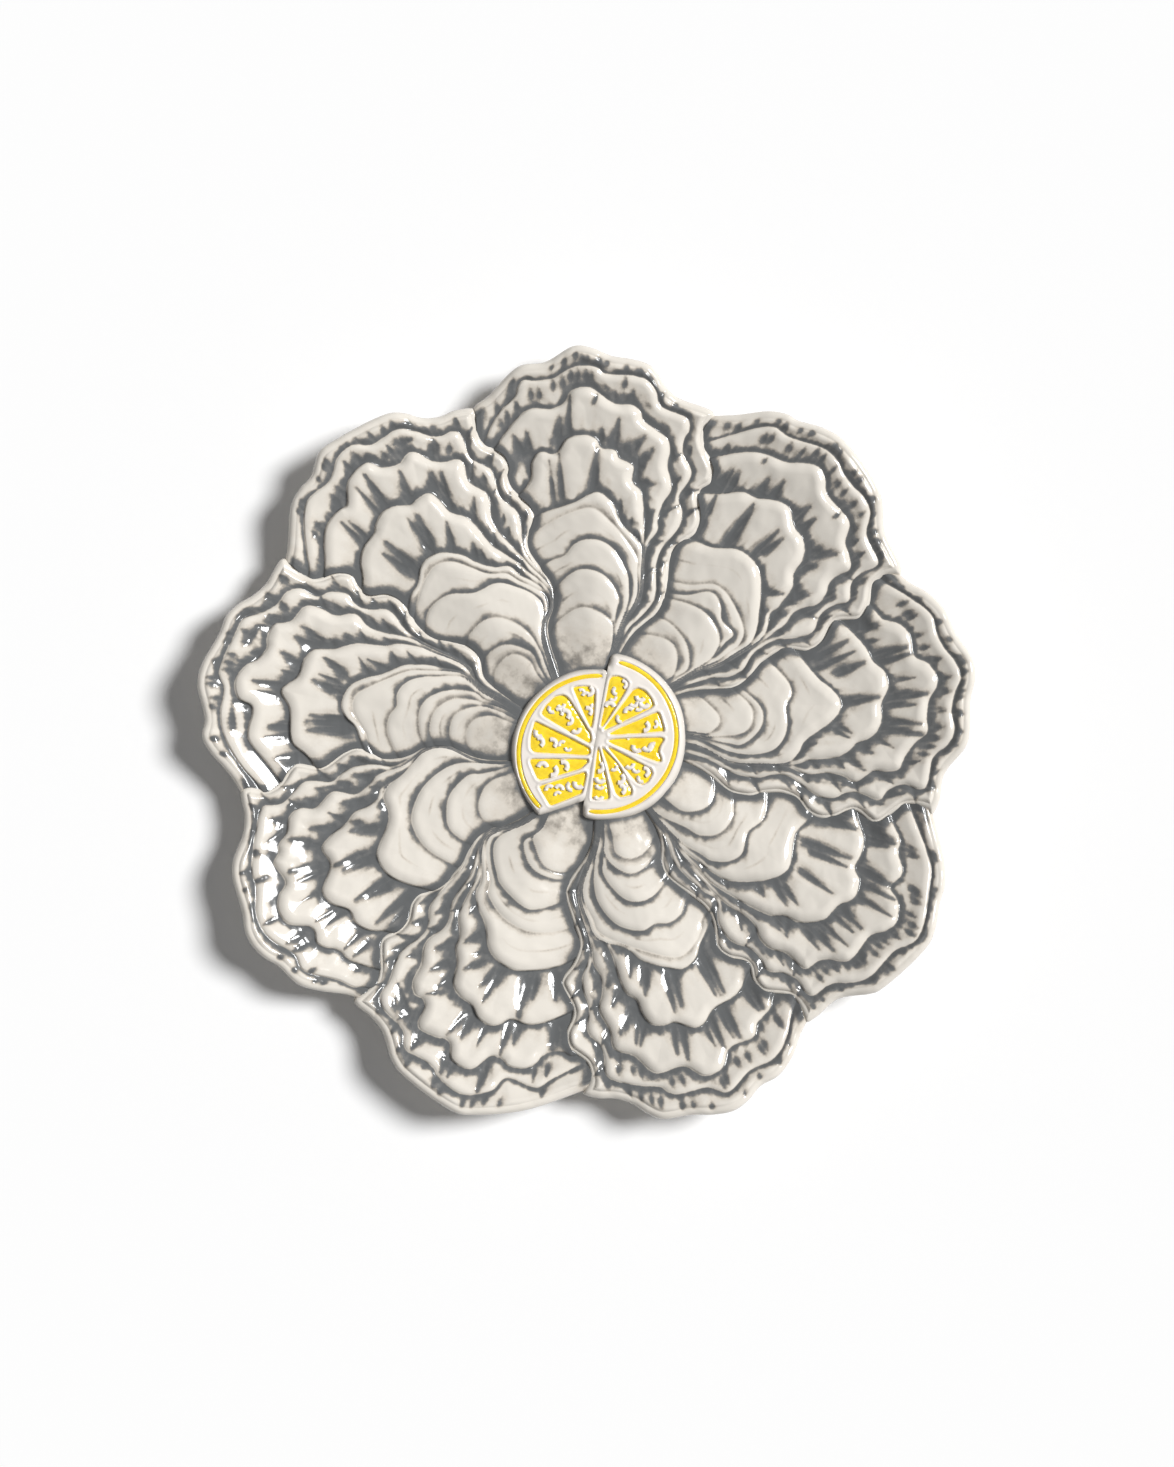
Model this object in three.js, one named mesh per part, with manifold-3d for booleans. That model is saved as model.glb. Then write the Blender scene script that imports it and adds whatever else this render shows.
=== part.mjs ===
// Oyster plate: a lobed ceramic dish on a foot ring. Nine oyster shells lie round it in a pinwheel,
// each over the next one clockwise, and two slices of lemon lie at the centre.
// Millimetres, +Z up. The origin is under the middle of the plate, on the plane that it stands on.

import * as THREE from 'three';
import { mergeVertices } from 'three/addons/utils/BufferGeometryUtils.js';
import Module from 'manifold-3d';

const wasm = await Module();
wasm.setup();

// Gap between two pieces that touch on the plate
const CLEARANCE = 0.3;

// Dish and foot
const FOOT_RADIUS = 74;
const FOOT_WIDTH = 5;
const FOOT_HEIGHT = 4;
const BODY_THICKNESS = 3;
const RIM_THICKNESS = 2.4;
const FLAT_RADIUS = 78;
const RISE_WIDTH = 60;
const RIM_RISE = 11;
const RIM_OVERHANG = 2;

// Shell relief: the cover is the least thickness, and each layer ends in a drop to the next one outwards
const SHELL_COVER = 2.2;
const SHELL_MOUND = 4;
const LIP_DROP = 2;
const BAND_DROP = 1.2;
const FRILL_DROP = 1.8;
const BODY_DROP = 1.5;
const RING_DROP = 0.5;
const DROP_RUN = 0.6;
const DROP_RUN_SHARE = 0.35;
const CROWN_SHARE = 0.4;
const UMBO_RADIUS = 16;

// A shell's mound: full height between its two angles and beyond its inner radius, less towards the rim
const MOUND_LEFT_ANGLES = [-16, 0];
const MOUND_RIGHT_ANGLES = [5, 31];
const MOUND_RIGHT_SHARE = 0.25;
const MOUND_INNER_RADIUS = 60;
const MOUND_INNER_SHARE = 0.3;
const MOUND_OUTER_RADIUS = 85;
const MOUND_RIM_RADIUS = 135;
const MOUND_RIM_SHARE = 0.5;

// Bearing of each shell's tip, in degrees clockwise from the top of the plate
const TIP_ANGLES = [-1, 41, 81, 121, 160, 199, 239, 279, 318];

// Lemon slices: both are discs cut by a chord, and the right one lies over the left one
const LEMON_RADIUS = 30;
const LEMON_HEIGHT = 7;
const LEMON_BEVEL = 0.8;
const RIND_MARGIN = 2.4;
const RIND_WIDTH = 1.6;
const RIND_DEPTH = 1;
const PITH_WIDTH = 3.4;
const FLESH_DEPTH = 2;
const FLESH_EDGE = 1.2;
const GLAZE_RECESS = 0.2;
const MEMBRANE_WIDTH = 1.4;
const SEGMENT_POINT = 1;

// Places and bearings on the slices: a membrane parts each segment from the next, all round the hub
const RIGHT_SLICE = {
  centreX: 4.3,
  centreY: 1.8,
  hubX: 3.2,
  hubY: 0.4,
  chordAngle: 280.75,
  chordDistance: 1.6,
  rindAngles: [12, 187.5],
  membraneAngles: [10.75, 33, 63, 86, 114, 142, 167, 190.75],
};
const LEFT_SLICE = {
  centreX: 3,
  centreY: -4.9,
  hubX: 4.9,
  hubY: -4.9,
  chordAngle: 160,
  chordDistance: 13.3,
  rindAngles: [226.5, 361.5],
  membraneAngles: [195, 245.6, 268.4, 299.7, 333.4, 366],
};

// Glazes, and the bare clay of the foot
const CREAM = { color: '#d9d2c6', roughness: 0.15 };
const BISQUE = { color: '#cbb9a2', roughness: 0.7 };
const PITH = { color: '#e4e1d9', roughness: 0.2 };
const YELLOW = { color: '#eec81e', roughness: 0.15 };

// Detail of the curves
const CURVE_SAMPLES = 200;
const MERGE_TOLERANCE = 1e-4;
const FRONT_STEPS = 9;
const FLANK_STEPS = 9;
const RIM_STEPS = 108;
const RIM_ROWS = 4;
const FOOT_STEPS = 72;
const SLICE_STEPS = 40;
const RIND_STEPS = 20;
const SEGMENT_STEPS = 5;
const BEVEL_STEPS = 2;
const CUTTER_HEIGHT = 100;

// Lines of one shell, from its rim to its umbo, as [degrees clockwise from the tip, radius].
// Each starts under the shell before it, runs round the front to the shoulder and goes down the flank.
const LIP_EDGE = {
  front: [[-24, 118], [-18, 125], [-14, 129], [-10, 133.5], [-4, 136], [-1, 138], [2, 137], [5, 134.5],
    [9, 134], [12, 131], [15, 126.5], [20.5, 124.5]],
  flank: [[23.5, 113], [26, 103], [29, 87], [25, 73], [28, 61], [31, 52], [24, 41], [22, 33],
    [20, UMBO_RADIUS]],
};
const LIP_BASE = {
  front: [[-24, 107], [-20, 112], [-14, 121], [-10, 127.5], [-5, 129.5], [-1, 132], [3, 129], [8, 128],
    [12, 123], [18, 118.5]],
  flank: [[19.5, 108], [21.5, 99], [23.5, 87], [22, 73], [25, 58], [26, 52], [22, 41], [21, 33],
    [18.5, UMBO_RADIUS]],
};
const OUTER_FRILL = {
  front: [[-24, 99], [-18, 107], [-12, 115], [-4, 119.5], [0, 124.5], [2.5, 121], [8.5, 118.5], [11, 114.5],
    [16, 109]],
  flank: [[18.5, 97], [19, 90], [18.5, 82], [20, 75], [22.5, 60], [24, 53], [21.5, 41], [20, 33],
    [17, UMBO_RADIUS]],
};
const INNER_FRILL = {
  front: [[-24, 86], [-16, 93], [-12, 99.5], [-5, 103.5], [0, 107.5], [4, 103], [7.5, 102.5], [9.5, 99]],
  flank: [[11, 93], [14.5, 82], [18.5, 71], [21.5, 57], [22, 51], [20.5, 41], [19, 33], [15.5, UMBO_RADIUS]],
};
const SHELL_BODY = {
  front: [[-24, 73], [-16, 78], [-6, 82.5], [1, 87], [4, 85.5], [7, 80.5]],
  flank: [[9.5, 76], [16, 69.5], [20, 56], [20.5, 50], [19.5, 41], [18, 33], [14, UMBO_RADIUS]],
};
const OUTER_RING = {
  front: [[-24, 59], [-14, 64], [-3, 69.5], [2, 70.5], [6, 69.5]],
  flank: [[10, 66.5], [16.5, 56.5], [18.5, 50], [18, 41], [16.5, 33], [12, UMBO_RADIUS]],
};
const MIDDLE_RING = {
  front: [[-24, 50], [-14, 54], [-3, 59.5], [2, 60.5], [7, 58.5]],
  flank: [[11, 54.5], [14, 50], [16, 41], [15, 33], [10, UMBO_RADIUS]],
};
const INNER_RING = {
  front: [[-24, 40], [-16, 43], [-8, 47.5], [-2, 49.5], [4, 48.5]],
  flank: [[9, 45], [12.5, 41], [13, 33], [8, UMBO_RADIUS]],
};
const UMBO_LINE = {
  front: [[-24, UMBO_RADIUS], [-12, UMBO_RADIUS]],
  flank: [[0, UMBO_RADIUS], [6, UMBO_RADIUS]],
};

// Layers that lie over one another, from the lip inwards
const LAYERS = [
  { line: LIP_BASE, drop: BAND_DROP },
  { line: OUTER_FRILL, drop: FRILL_DROP },
  { line: INNER_FRILL, drop: FRILL_DROP },
  { line: SHELL_BODY, drop: BODY_DROP },
  { line: OUTER_RING, drop: RING_DROP },
  { line: MIDDLE_RING, drop: RING_DROP },
  { line: INNER_RING, drop: RING_DROP },
];

// Plan geometry

function atBearing(degrees, radius) {
  const angle = THREE.MathUtils.degToRad(degrees);
  return new THREE.Vector2(radius * Math.sin(angle), radius * Math.cos(angle));
}

function bearingOf(point) {
  return THREE.MathUtils.radToDeg(Math.atan2(point.x, point.y));
}

function turned(points, degrees) {
  const angle = -THREE.MathUtils.degToRad(degrees);
  return points.map((point) => point.clone().rotateAround(new THREE.Vector2(), angle));
}

// The closed outline moved outwards by a distance, or inwards where it is negative
function grown(outline, distance) {
  const side = THREE.ShapeUtils.isClockWise(outline) ? -1 : 1;
  return outline.map((point, index) => {
    const before = outline[(index + outline.length - 1) % outline.length];
    const after = outline[(index + 1) % outline.length];
    const along = point.clone().sub(before).normalize();
    const onward = after.clone().sub(point).normalize();
    const normal = new THREE.Vector2(along.y + onward.y, -along.x - onward.x).normalize();
    const stretch = Math.max(normal.x * along.y - normal.y * along.x, 0.5);
    return point.clone().addScaledVector(normal, (side * distance) / stretch);
  });
}

// Points at equal steps of length along a stretch of a curve, without its last point
function evenSteps(curve, from, to, steps) {
  const points = [];
  const lengths = [0];
  for (let index = 0; index <= CURVE_SAMPLES; index += 1) {
    points.push(curve.getPoint(from + ((to - from) * index) / CURVE_SAMPLES));
    if (index > 0) lengths.push(lengths[index - 1] + points[index].distanceTo(points[index - 1]));
  }
  const even = [];
  for (let step = 0; step < steps; step += 1) {
    const wanted = (lengths[CURVE_SAMPLES] * step) / steps;
    even.push(points[lengths.findIndex((length) => length >= wanted)]);
  }
  return even;
}

// Stations along a shell's line, alike in number on every line
function stationsOf(line) {
  const points = [...line.front, ...line.flank].map(([degrees, radius]) => atBearing(degrees, radius));
  const curve = new THREE.SplineCurve(points);
  const shoulder = (line.front.length - 1) / (points.length - 1);
  return [
    ...evenSteps(curve, 0, shoulder, FRONT_STEPS),
    ...evenSteps(curve, shoulder, 1, FLANK_STEPS),
    points[points.length - 1],
  ];
}

// Heights

function dishTop(radius) {
  const share = Math.max(radius - FLAT_RADIUS, 0) / RISE_WIDTH;
  return FOOT_HEIGHT + BODY_THICKNESS + RIM_RISE * share * share;
}

function dishUnderside(radius) {
  const share = THREE.MathUtils.clamp((radius - FLAT_RADIUS) / RISE_WIDTH, 0, 1);
  return dishTop(radius) - THREE.MathUtils.lerp(BODY_THICKNESS, RIM_THICKNESS, share);
}

function shellSeat(point) {
  return dishTop(point.length()) + CLEARANCE;
}

// A shell is highest along its middle, and sinks to its left side, its right side, its rim and its umbo
function mound(point) {
  const bearing = bearingOf(point);
  const radius = point.length();
  const { lerp, smoothstep } = THREE.MathUtils;
  const left = smoothstep(bearing, ...MOUND_LEFT_ANGLES);
  const right = lerp(1, MOUND_RIGHT_SHARE, smoothstep(bearing, ...MOUND_RIGHT_ANGLES));
  const umbo = lerp(MOUND_INNER_SHARE, 1, smoothstep(radius, UMBO_RADIUS, MOUND_INNER_RADIUS));
  const rim = lerp(1, MOUND_RIM_SHARE, smoothstep(radius, MOUND_OUTER_RADIUS, MOUND_RIM_RADIUS));
  return SHELL_MOUND * left * right * umbo * rim;
}

function shellSurface(point) {
  return shellSeat(point) + SHELL_COVER + mound(point);
}

// Solids

function geometryOf(vertices, triangles) {
  const geometry = new THREE.BufferGeometry();
  geometry.setAttribute('position', new THREE.Float32BufferAttribute(vertices, 3));
  geometry.setIndex(Array.from(triangles));
  return geometry;
}

// The geometry with shared vertices
function merged(geometry) {
  geometry.deleteAttribute('normal');
  geometry.deleteAttribute('uv');
  return mergeVertices(geometry, MERGE_TOLERANCE);
}

function solidOf(geometry) {
  const closed = merged(geometry);
  const vertProperties = new Float32Array(closed.attributes.position.array);
  const triVerts = new Uint32Array(closed.index.array);
  return new wasm.Manifold(new wasm.Mesh({ numProp: 3, vertProperties, triVerts }));
}

function geometryOfSolid(solid) {
  const mesh = solid.getMesh();
  return geometryOf(mesh.vertProperties, mesh.triVerts);
}

// An upright prism on a closed outline
function prism(outline, bottom, height, bevel = 0) {
  const geometry = new THREE.ExtrudeGeometry(new THREE.Shape(outline), {
    depth: height - 2 * bevel,
    bevelEnabled: bevel > 0,
    bevelSize: bevel,
    bevelOffset: -bevel,
    bevelThickness: bevel,
    bevelSegments: BEVEL_STEPS,
  });
  return solidOf(geometry.translate(0, 0, bottom + bevel));
}

function cutter(outline) {
  return prism(grown(outline, CLEARANCE), 0, CUTTER_HEIGHT);
}

// A body whose closed sections stand side by side, each with as many points, and whose ends are capped
function sweptBody(sections, sectionOutline) {
  const count = sections[0].length;
  const vertices = sections.flat().flatMap((point) => [point.x, point.y, point.z]);
  const triangles = [];
  for (let station = 0; station + 1 < sections.length; station += 1) {
    for (let row = 0; row < count; row += 1) {
      const next = (row + 1) % count;
      const here = station * count;
      const there = here + count;
      triangles.push(here + row, here + next, there + row);
      triangles.push(there + row, here + next, there + next);
    }
  }
  const last = (sections.length - 1) * count;
  const startCap = THREE.ShapeUtils.triangulateShape(sectionOutline(sections[0]), []);
  const endCap = THREE.ShapeUtils.triangulateShape(sectionOutline(sections[sections.length - 1]), []);
  for (const [a, b, c] of startCap) triangles.push(a, b, c);
  for (const [a, b, c] of endCap) triangles.push(last + c, last + b, last + a);
  return geometryOf(vertices, triangles);
}

// A body of rings about the centre, from the middle of its top, over its rim, to the middle of its underside
function ringedBody(rings, topHeight, bottomHeight) {
  const count = rings[0].length;
  const vertices = rings.flat().flatMap((point) => [point.x, point.y, point.z]);
  const topCentre = rings.length * count;
  const bottomCentre = topCentre + 1;
  vertices.push(0, 0, topHeight, 0, 0, bottomHeight);
  const triangles = [];
  const last = (rings.length - 1) * count;
  for (let step = 0; step < count; step += 1) {
    const next = (step + 1) % count;
    triangles.push(topCentre, next, step);
    triangles.push(bottomCentre, last + step, last + next);
    for (let ring = 0; ring + 1 < rings.length; ring += 1) {
      const inner = ring * count;
      const outer = inner + count;
      triangles.push(inner + step, inner + next, outer + step);
      triangles.push(outer + step, inner + next, outer + next);
    }
  }
  return geometryOf(vertices, triangles);
}

// Pieces

const shellLines = new Map();
for (const line of [LIP_EDGE, ...LAYERS.map((layer) => layer.line), UMBO_LINE]) {
  shellLines.set(line, stationsOf(line));
}
const shellOutline = [...shellLines.get(LIP_EDGE), ...[...shellLines.get(UMBO_LINE)].reverse()];

function raised(point, height) {
  return new THREE.Vector3(point.x, point.y, height);
}

// One section across the layers, from the lip's outer foot over the top to the umbo and back underneath
function shellSection(station) {
  const lip = shellLines.get(LIP_EDGE)[station];
  const umbo = shellLines.get(UMBO_LINE)[station];
  const crown = lip.clone().lerp(shellLines.get(LIP_BASE)[station], CROWN_SHARE);
  const section = [
    raised(lip, shellSeat(lip)),
    raised(lip, shellSurface(lip) + LIP_DROP / 2),
    raised(crown, shellSurface(crown) + LIP_DROP),
  ];
  const underside = [];
  let outer = lip;
  for (const { line, drop } of LAYERS) {
    const edge = shellLines.get(line)[station];
    const width = edge.distanceTo(outer);
    const foot = edge.clone().lerp(outer, Math.min(DROP_RUN / width, DROP_RUN_SHARE));
    section.push(raised(foot, shellSurface(foot)));
    section.push(raised(edge, shellSurface(edge) + drop));
    underside.unshift(raised(edge, shellSeat(edge)));
    outer = edge;
  }
  section.push(raised(umbo, shellSurface(umbo)), raised(umbo, shellSeat(umbo)));
  return [...section, ...underside];
}

// A section laid flat: its points' place in the order of the layers, against their height
const layerPlaces = LAYERS.map((layer, index) => index + 1);
const sectionPlaces = [
  0, 0, CROWN_SHARE, ...layerPlaces.flatMap((place) => [place - DROP_RUN_SHARE, place]),
  LAYERS.length + 1, LAYERS.length + 1, ...[...layerPlaces].reverse(),
];

function flatSection(section) {
  return section.map((point, index) => new THREE.Vector2(sectionPlaces[index], point.z));
}

const shellSections = shellLines.get(LIP_EDGE).map((point, station) => shellSection(station));
const wholeShell = solidOf(sweptBody(shellSections, flatSection));

// The rim's radius at a bearing is that of the shell that reaches furthest there
function rimRadius(bearing) {
  let furthest = 0;
  for (const tip of TIP_ANGLES) {
    const degrees = THREE.MathUtils.euclideanModulo(bearing - tip + 180, 360) - 180;
    const next = LIP_EDGE.front.findIndex(([angle]) => angle >= degrees);
    if (next > 0) {
      const [beforeAngle, beforeRadius] = LIP_EDGE.front[next - 1];
      const [afterAngle, afterRadius] = LIP_EDGE.front[next];
      const share = (degrees - beforeAngle) / (afterAngle - beforeAngle);
      furthest = Math.max(furthest, THREE.MathUtils.lerp(beforeRadius, afterRadius, share));
    }
  }
  return furthest;
}

function plateBody() {
  const top = [];
  const underside = [];
  for (let row = 0; row <= RIM_ROWS; row += 1) {
    const topRing = [];
    const undersideRing = [];
    for (let step = 0; step < RIM_STEPS; step += 1) {
      const bearing = (360 * step) / RIM_STEPS;
      const edge = rimRadius(bearing) - RIM_OVERHANG;
      const radius = THREE.MathUtils.lerp(FLAT_RADIUS, edge, row / RIM_ROWS);
      const point = atBearing(bearing, radius);
      topRing.push(raised(point, dishTop(radius)));
      undersideRing.push(raised(point, dishUnderside(radius)));
    }
    top.push(topRing);
    underside.unshift(undersideRing);
  }
  return ringedBody([...top, ...underside], dishTop(0), dishUnderside(0));
}

function footRing() {
  const inside = FOOT_RADIUS - FOOT_WIDTH / 2;
  const outside = FOOT_RADIUS + FOOT_WIDTH / 2;
  const profile = [
    new THREE.Vector2(inside, 0),
    new THREE.Vector2(outside, 0),
    new THREE.Vector2(outside, dishUnderside(outside) - CLEARANCE),
    new THREE.Vector2(inside, dishUnderside(inside) - CLEARANCE),
    new THREE.Vector2(inside, 0),
  ];
  return merged(new THREE.LatheGeometry(profile, FOOT_STEPS).rotateX(Math.PI / 2));
}

// Lemon: a slice with a groove for the rind's glaze and a pocket for each segment's glaze

const lemonSeat = dishTop(0) + CLEARANCE;
const lemonTop = lemonSeat + LEMON_HEIGHT;
const rindOutside = LEMON_RADIUS - RIND_MARGIN;
const rindInside = rindOutside - RIND_WIDTH;
const fleshRadius = rindInside - PITH_WIDTH;

// A glaze fill sunk in the lemon's top, and the pocket that holds it
function glazeFill(outline, depth) {
  return prism(outline, lemonTop - depth, depth - GLAZE_RECESS);
}

function glazePocket(outline, depth) {
  return prism(grown(outline, CLEARANCE), lemonTop - depth - CLEARANCE, LEMON_HEIGHT);
}

function centreOf(slice) {
  return new THREE.Vector2(slice.centreX, slice.centreY);
}

function hubOf(slice) {
  return new THREE.Vector2(slice.hubX, slice.hubY);
}

// Points of an arc about a slice's centre, between two bearings
function arcPoints(slice, radius, start, end, steps) {
  const points = [];
  for (let step = 0; step <= steps; step += 1) {
    points.push(atBearing(THREE.MathUtils.lerp(start, end, step / steps), radius).add(centreOf(slice)));
  }
  return points;
}

// Outline of the strip of glaze along the rind
function rindOutline(slice) {
  const [start, end] = slice.rindAngles;
  return [
    ...arcPoints(slice, rindOutside, start, end, RIND_STEPS),
    ...arcPoints(slice, rindInside, end, start, RIND_STEPS),
  ];
}

// Bearing, about a slice's centre, at which a line meets the flesh's outer circle
function fleshBearing(slice, from, bearing) {
  const along = atBearing(bearing, 1);
  const offset = from.clone().sub(centreOf(slice));
  const middle = offset.dot(along);
  const distance = Math.sqrt(middle * middle - offset.lengthSq() + fleshRadius * fleshRadius) - middle;
  return bearingOf(offset.addScaledVector(along, distance));
}

// Outline of one segment: a wedge from the hub to the flesh's edge, less half a membrane on each side
function segmentOutline(slice, start, end) {
  const halfAngle = THREE.MathUtils.degToRad((end - start) / 2);
  const apexDistance = MEMBRANE_WIDTH / 2 / Math.sin(halfAngle);
  const apex = hubOf(slice).add(atBearing((start + end) / 2, apexDistance));
  const from = fleshBearing(slice, apex, start);
  const sweep = THREE.MathUtils.euclideanModulo(fleshBearing(slice, apex, end) - from, 360);
  return [
    apex.clone().add(atBearing(end, SEGMENT_POINT)),
    apex.clone().add(atBearing(start, SEGMENT_POINT)),
    ...arcPoints(slice, fleshRadius, from, from + sweep, SEGMENT_STEPS),
  ];
}

// The part of an outline that lies within a distance from a point, measured along a bearing
function clipped(outline, from, bearing, distance) {
  const along = atBearing(bearing, 1);
  const depths = outline.map((point) => point.clone().sub(from).dot(along) - distance);
  const kept = [];
  outline.forEach((point, index) => {
    const before = (index + outline.length - 1) % outline.length;
    if (depths[before] * depths[index] < 0) {
      const share = depths[before] / (depths[before] - depths[index]);
      kept.push(outline[before].clone().lerp(point, share));
    }
    if (depths[index] <= 0) kept.push(point);
  });
  return kept;
}

// The part of an outline that lies beyond the chord of the slice over it, by a distance
function keptBack(outline, over, distance) {
  return clipped(outline, centreOf(over), over.chordAngle + 180, -over.chordDistance - distance);
}

// Outline of a slice, from one end of its chord round to the other, up to the slice that lies over it
function sliceOutline(slice, over) {
  const half = THREE.MathUtils.radToDeg(Math.acos(slice.chordDistance / LEMON_RADIUS));
  const start = slice.chordAngle + half;
  const outline = arcPoints(slice, LEMON_RADIUS, start, slice.chordAngle + 360 - half, SLICE_STEPS);
  return over ? keptBack(outline, over, CLEARANCE) : outline;
}

// Outlines of a slice's segments, kept back from its own chord and from the slice that lies over it
function segmentOutlines(slice, over) {
  return slice.membraneAngles.slice(1).map((end, index) => {
    const whole = segmentOutline(slice, slice.membraneAngles[index], end);
    const inside = clipped(whole, centreOf(slice), slice.chordAngle, slice.chordDistance - FLESH_EDGE);
    return over ? keptBack(inside, over, CLEARANCE + FLESH_EDGE) : inside;
  });
}

const leftOutline = sliceOutline(LEFT_SLICE, RIGHT_SLICE);
const rightOutline = sliceOutline(RIGHT_SLICE, null);

// Assembly

const plate = new THREE.Group();

function addPiece(name, geometry, finish) {
  const mesh = new THREE.Mesh(geometry, new THREE.MeshStandardMaterial(finish));
  mesh.name = name;
  plate.add(mesh);
  return mesh;
}

// One lemon slice and its glaze fills
function addLemon(side, slice, over) {
  let body = prism(sliceOutline(slice, over), lemonSeat, LEMON_HEIGHT, LEMON_BEVEL);
  const fills = [{ name: `${side}_rind_glaze`, outline: rindOutline(slice), depth: RIND_DEPTH }];
  segmentOutlines(slice, over).forEach((outline, index) => {
    fills.push({ name: `${side}_flesh_${index + 1}`, outline, depth: FLESH_DEPTH });
  });
  for (const { name, outline, depth } of fills) {
    body = body.subtract(glazePocket(outline, depth));
    addPiece(name, geometryOfSolid(glazeFill(outline, depth)), YELLOW);
  }
  addPiece(`lemon_half_${side}`, geometryOfSolid(body), PITH);
}

// One shell, in its own frame with its tip along +Y, cut back from the shell over it and from the lemon
function addShell(index) {
  const bearing = TIP_ANGLES[index];
  const over = TIP_ANGLES[(index + TIP_ANGLES.length - 1) % TIP_ANGLES.length];
  let solid = wholeShell.subtract(cutter(turned(shellOutline, over - bearing)));
  for (const outline of [leftOutline, rightOutline]) {
    solid = solid.subtract(cutter(turned(outline, -bearing)));
  }
  const shell = addPiece(`oyster_shell_${index + 1}`, geometryOfSolid(solid), CREAM);
  shell.rotation.z = -THREE.MathUtils.degToRad(bearing);
}

addPiece('plate_body', plateBody(), CREAM);
addPiece('foot_ring', footRing(), BISQUE);
TIP_ANGLES.forEach((bearing, index) => addShell(index));
addLemon('left', LEFT_SLICE, RIGHT_SLICE);
addLemon('right', RIGHT_SLICE, null);

// Nine lobes are not even about the centre of the pinwheel, so the middle of their extent goes to the origin
const extent = new THREE.Box2();
for (const bearing of TIP_ANGLES) {
  for (const point of turned(shellOutline, bearing)) extent.expandByPoint(point);
}
const middle = extent.getCenter(new THREE.Vector2());
plate.position.set(-middle.x, -middle.y, 0);

const oysterPlate = new THREE.Group();
oysterPlate.name = 'oyster_plate';
oysterPlate.add(plate);

export default oysterPlate;
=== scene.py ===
"""Looks of an oyster plate: nine glazed oyster shells in a pinwheel round two slices of lemon.

Lengths are millimetres, and become metres when a mesh is made. Bearings are degrees clockwise from +Y, the
top of the plate seen from above. A shell's own angles count clockwise from its tip.
"""

import logging
import math
from collections.abc import Iterable, Sequence
from dataclasses import dataclass, field
from enum import Enum

import bpy
import numpy as np
from mathutils import Matrix, Vector

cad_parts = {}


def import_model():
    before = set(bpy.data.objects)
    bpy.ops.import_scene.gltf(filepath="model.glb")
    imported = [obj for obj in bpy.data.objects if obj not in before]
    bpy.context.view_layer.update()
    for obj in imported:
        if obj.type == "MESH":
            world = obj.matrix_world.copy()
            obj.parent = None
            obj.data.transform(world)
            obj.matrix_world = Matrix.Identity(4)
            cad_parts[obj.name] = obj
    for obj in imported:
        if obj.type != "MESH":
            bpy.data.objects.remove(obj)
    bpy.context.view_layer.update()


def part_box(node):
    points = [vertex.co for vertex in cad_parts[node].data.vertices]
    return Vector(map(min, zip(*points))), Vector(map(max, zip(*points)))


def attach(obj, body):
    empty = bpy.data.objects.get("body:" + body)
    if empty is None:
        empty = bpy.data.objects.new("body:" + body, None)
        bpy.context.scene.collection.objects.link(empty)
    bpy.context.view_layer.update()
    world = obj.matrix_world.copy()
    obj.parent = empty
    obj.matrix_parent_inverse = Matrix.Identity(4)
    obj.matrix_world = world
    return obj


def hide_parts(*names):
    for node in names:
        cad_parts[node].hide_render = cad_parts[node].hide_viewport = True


LOG = logging.getLogger("oyster_plate")

Array = np.ndarray
Point = tuple[float, float]
Span = tuple[float, float]
Trace = tuple[Point, ...]
Colour = tuple[float, float, float, float]
Settings = dict[str, object]
Sockets = dict[str | int, object]
Stops = Sequence[tuple[float, Colour]]

METRES = 0.001
BODY = "root"
LINE_SPACING = 0.9
FINE_SPACING = 0.3
LINE_END = 14.0


class Slot(Enum):
    """Material slots of the part's record."""

    SHELL = "shell_glaze"
    BODY = "body_glaze"
    FOOT = "foot_bisque"
    PITH = "lemon_pith"
    YELLOW = "lemon_yellow"


class Layer(Enum):
    """Layers of a shell, from its lip inwards, in the order of their outer edges."""

    LIP = 0
    BAND = 1
    OUTER_FRILL = 2
    INNER_FRILL = 3
    BODY = 4
    RING = 5


class Seed(Enum):
    """Fixed seeds. A shell adds its own number."""

    UNEVEN = 20
    FINE = 40
    STREAKS = 60
    PITH = 71
    SWELL = 80
    FLESH = 83
    BRUSH = 90
    FOLDS = 300


# Small maths


def eased(value: Array, low: float, high: float) -> Array:
    """Gives the smooth share of the way between two values.

    Args:
        value: Values to place.
        low: Value at which the share is 0.
        high: Value at which the share is 1.

    Returns:
        Shares from 0 to 1.
    """
    share = np.clip((value - low) / (high - low), 0.0, 1.0)
    return share * share * (3.0 - 2.0 * share)


def between(start: Array | float, end: Array | float, share: Array | float) -> Array:
    """Returns the value a share of the way from start to end."""
    return start + (end - start) * share


def bell(away: Array, width: Array | float) -> Array:
    """Returns 1 at no distance, falling smoothly to 0 over a few widths."""
    return np.exp(-((away / width) ** 2))


def rounded_fall(share: Array) -> Array:
    """Returns the fall of a quarter round, from 1 at its rim to 0 at a share of 1."""
    return 1.0 - np.sqrt(1.0 - (1.0 - np.clip(share, 0.0, 1.0)) ** 2)


def plan_points(angles: Array, radii: Array) -> Array:
    """Returns plan points for angles in degrees clockwise from +Y, and radii."""
    turn = np.radians(angles)
    return np.stack([radii * np.sin(turn), radii * np.cos(turn)], axis=-1)


def turned(points: Array, degrees: float) -> Array:
    """Returns plan points turned clockwise about the centre."""
    turn = math.radians(degrees)
    x, y = points[..., 0], points[..., 1]
    return np.stack(
        [x * math.cos(turn) + y * math.sin(turn), y * math.cos(turn) - x * math.sin(turn)], axis=-1
    )


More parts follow.
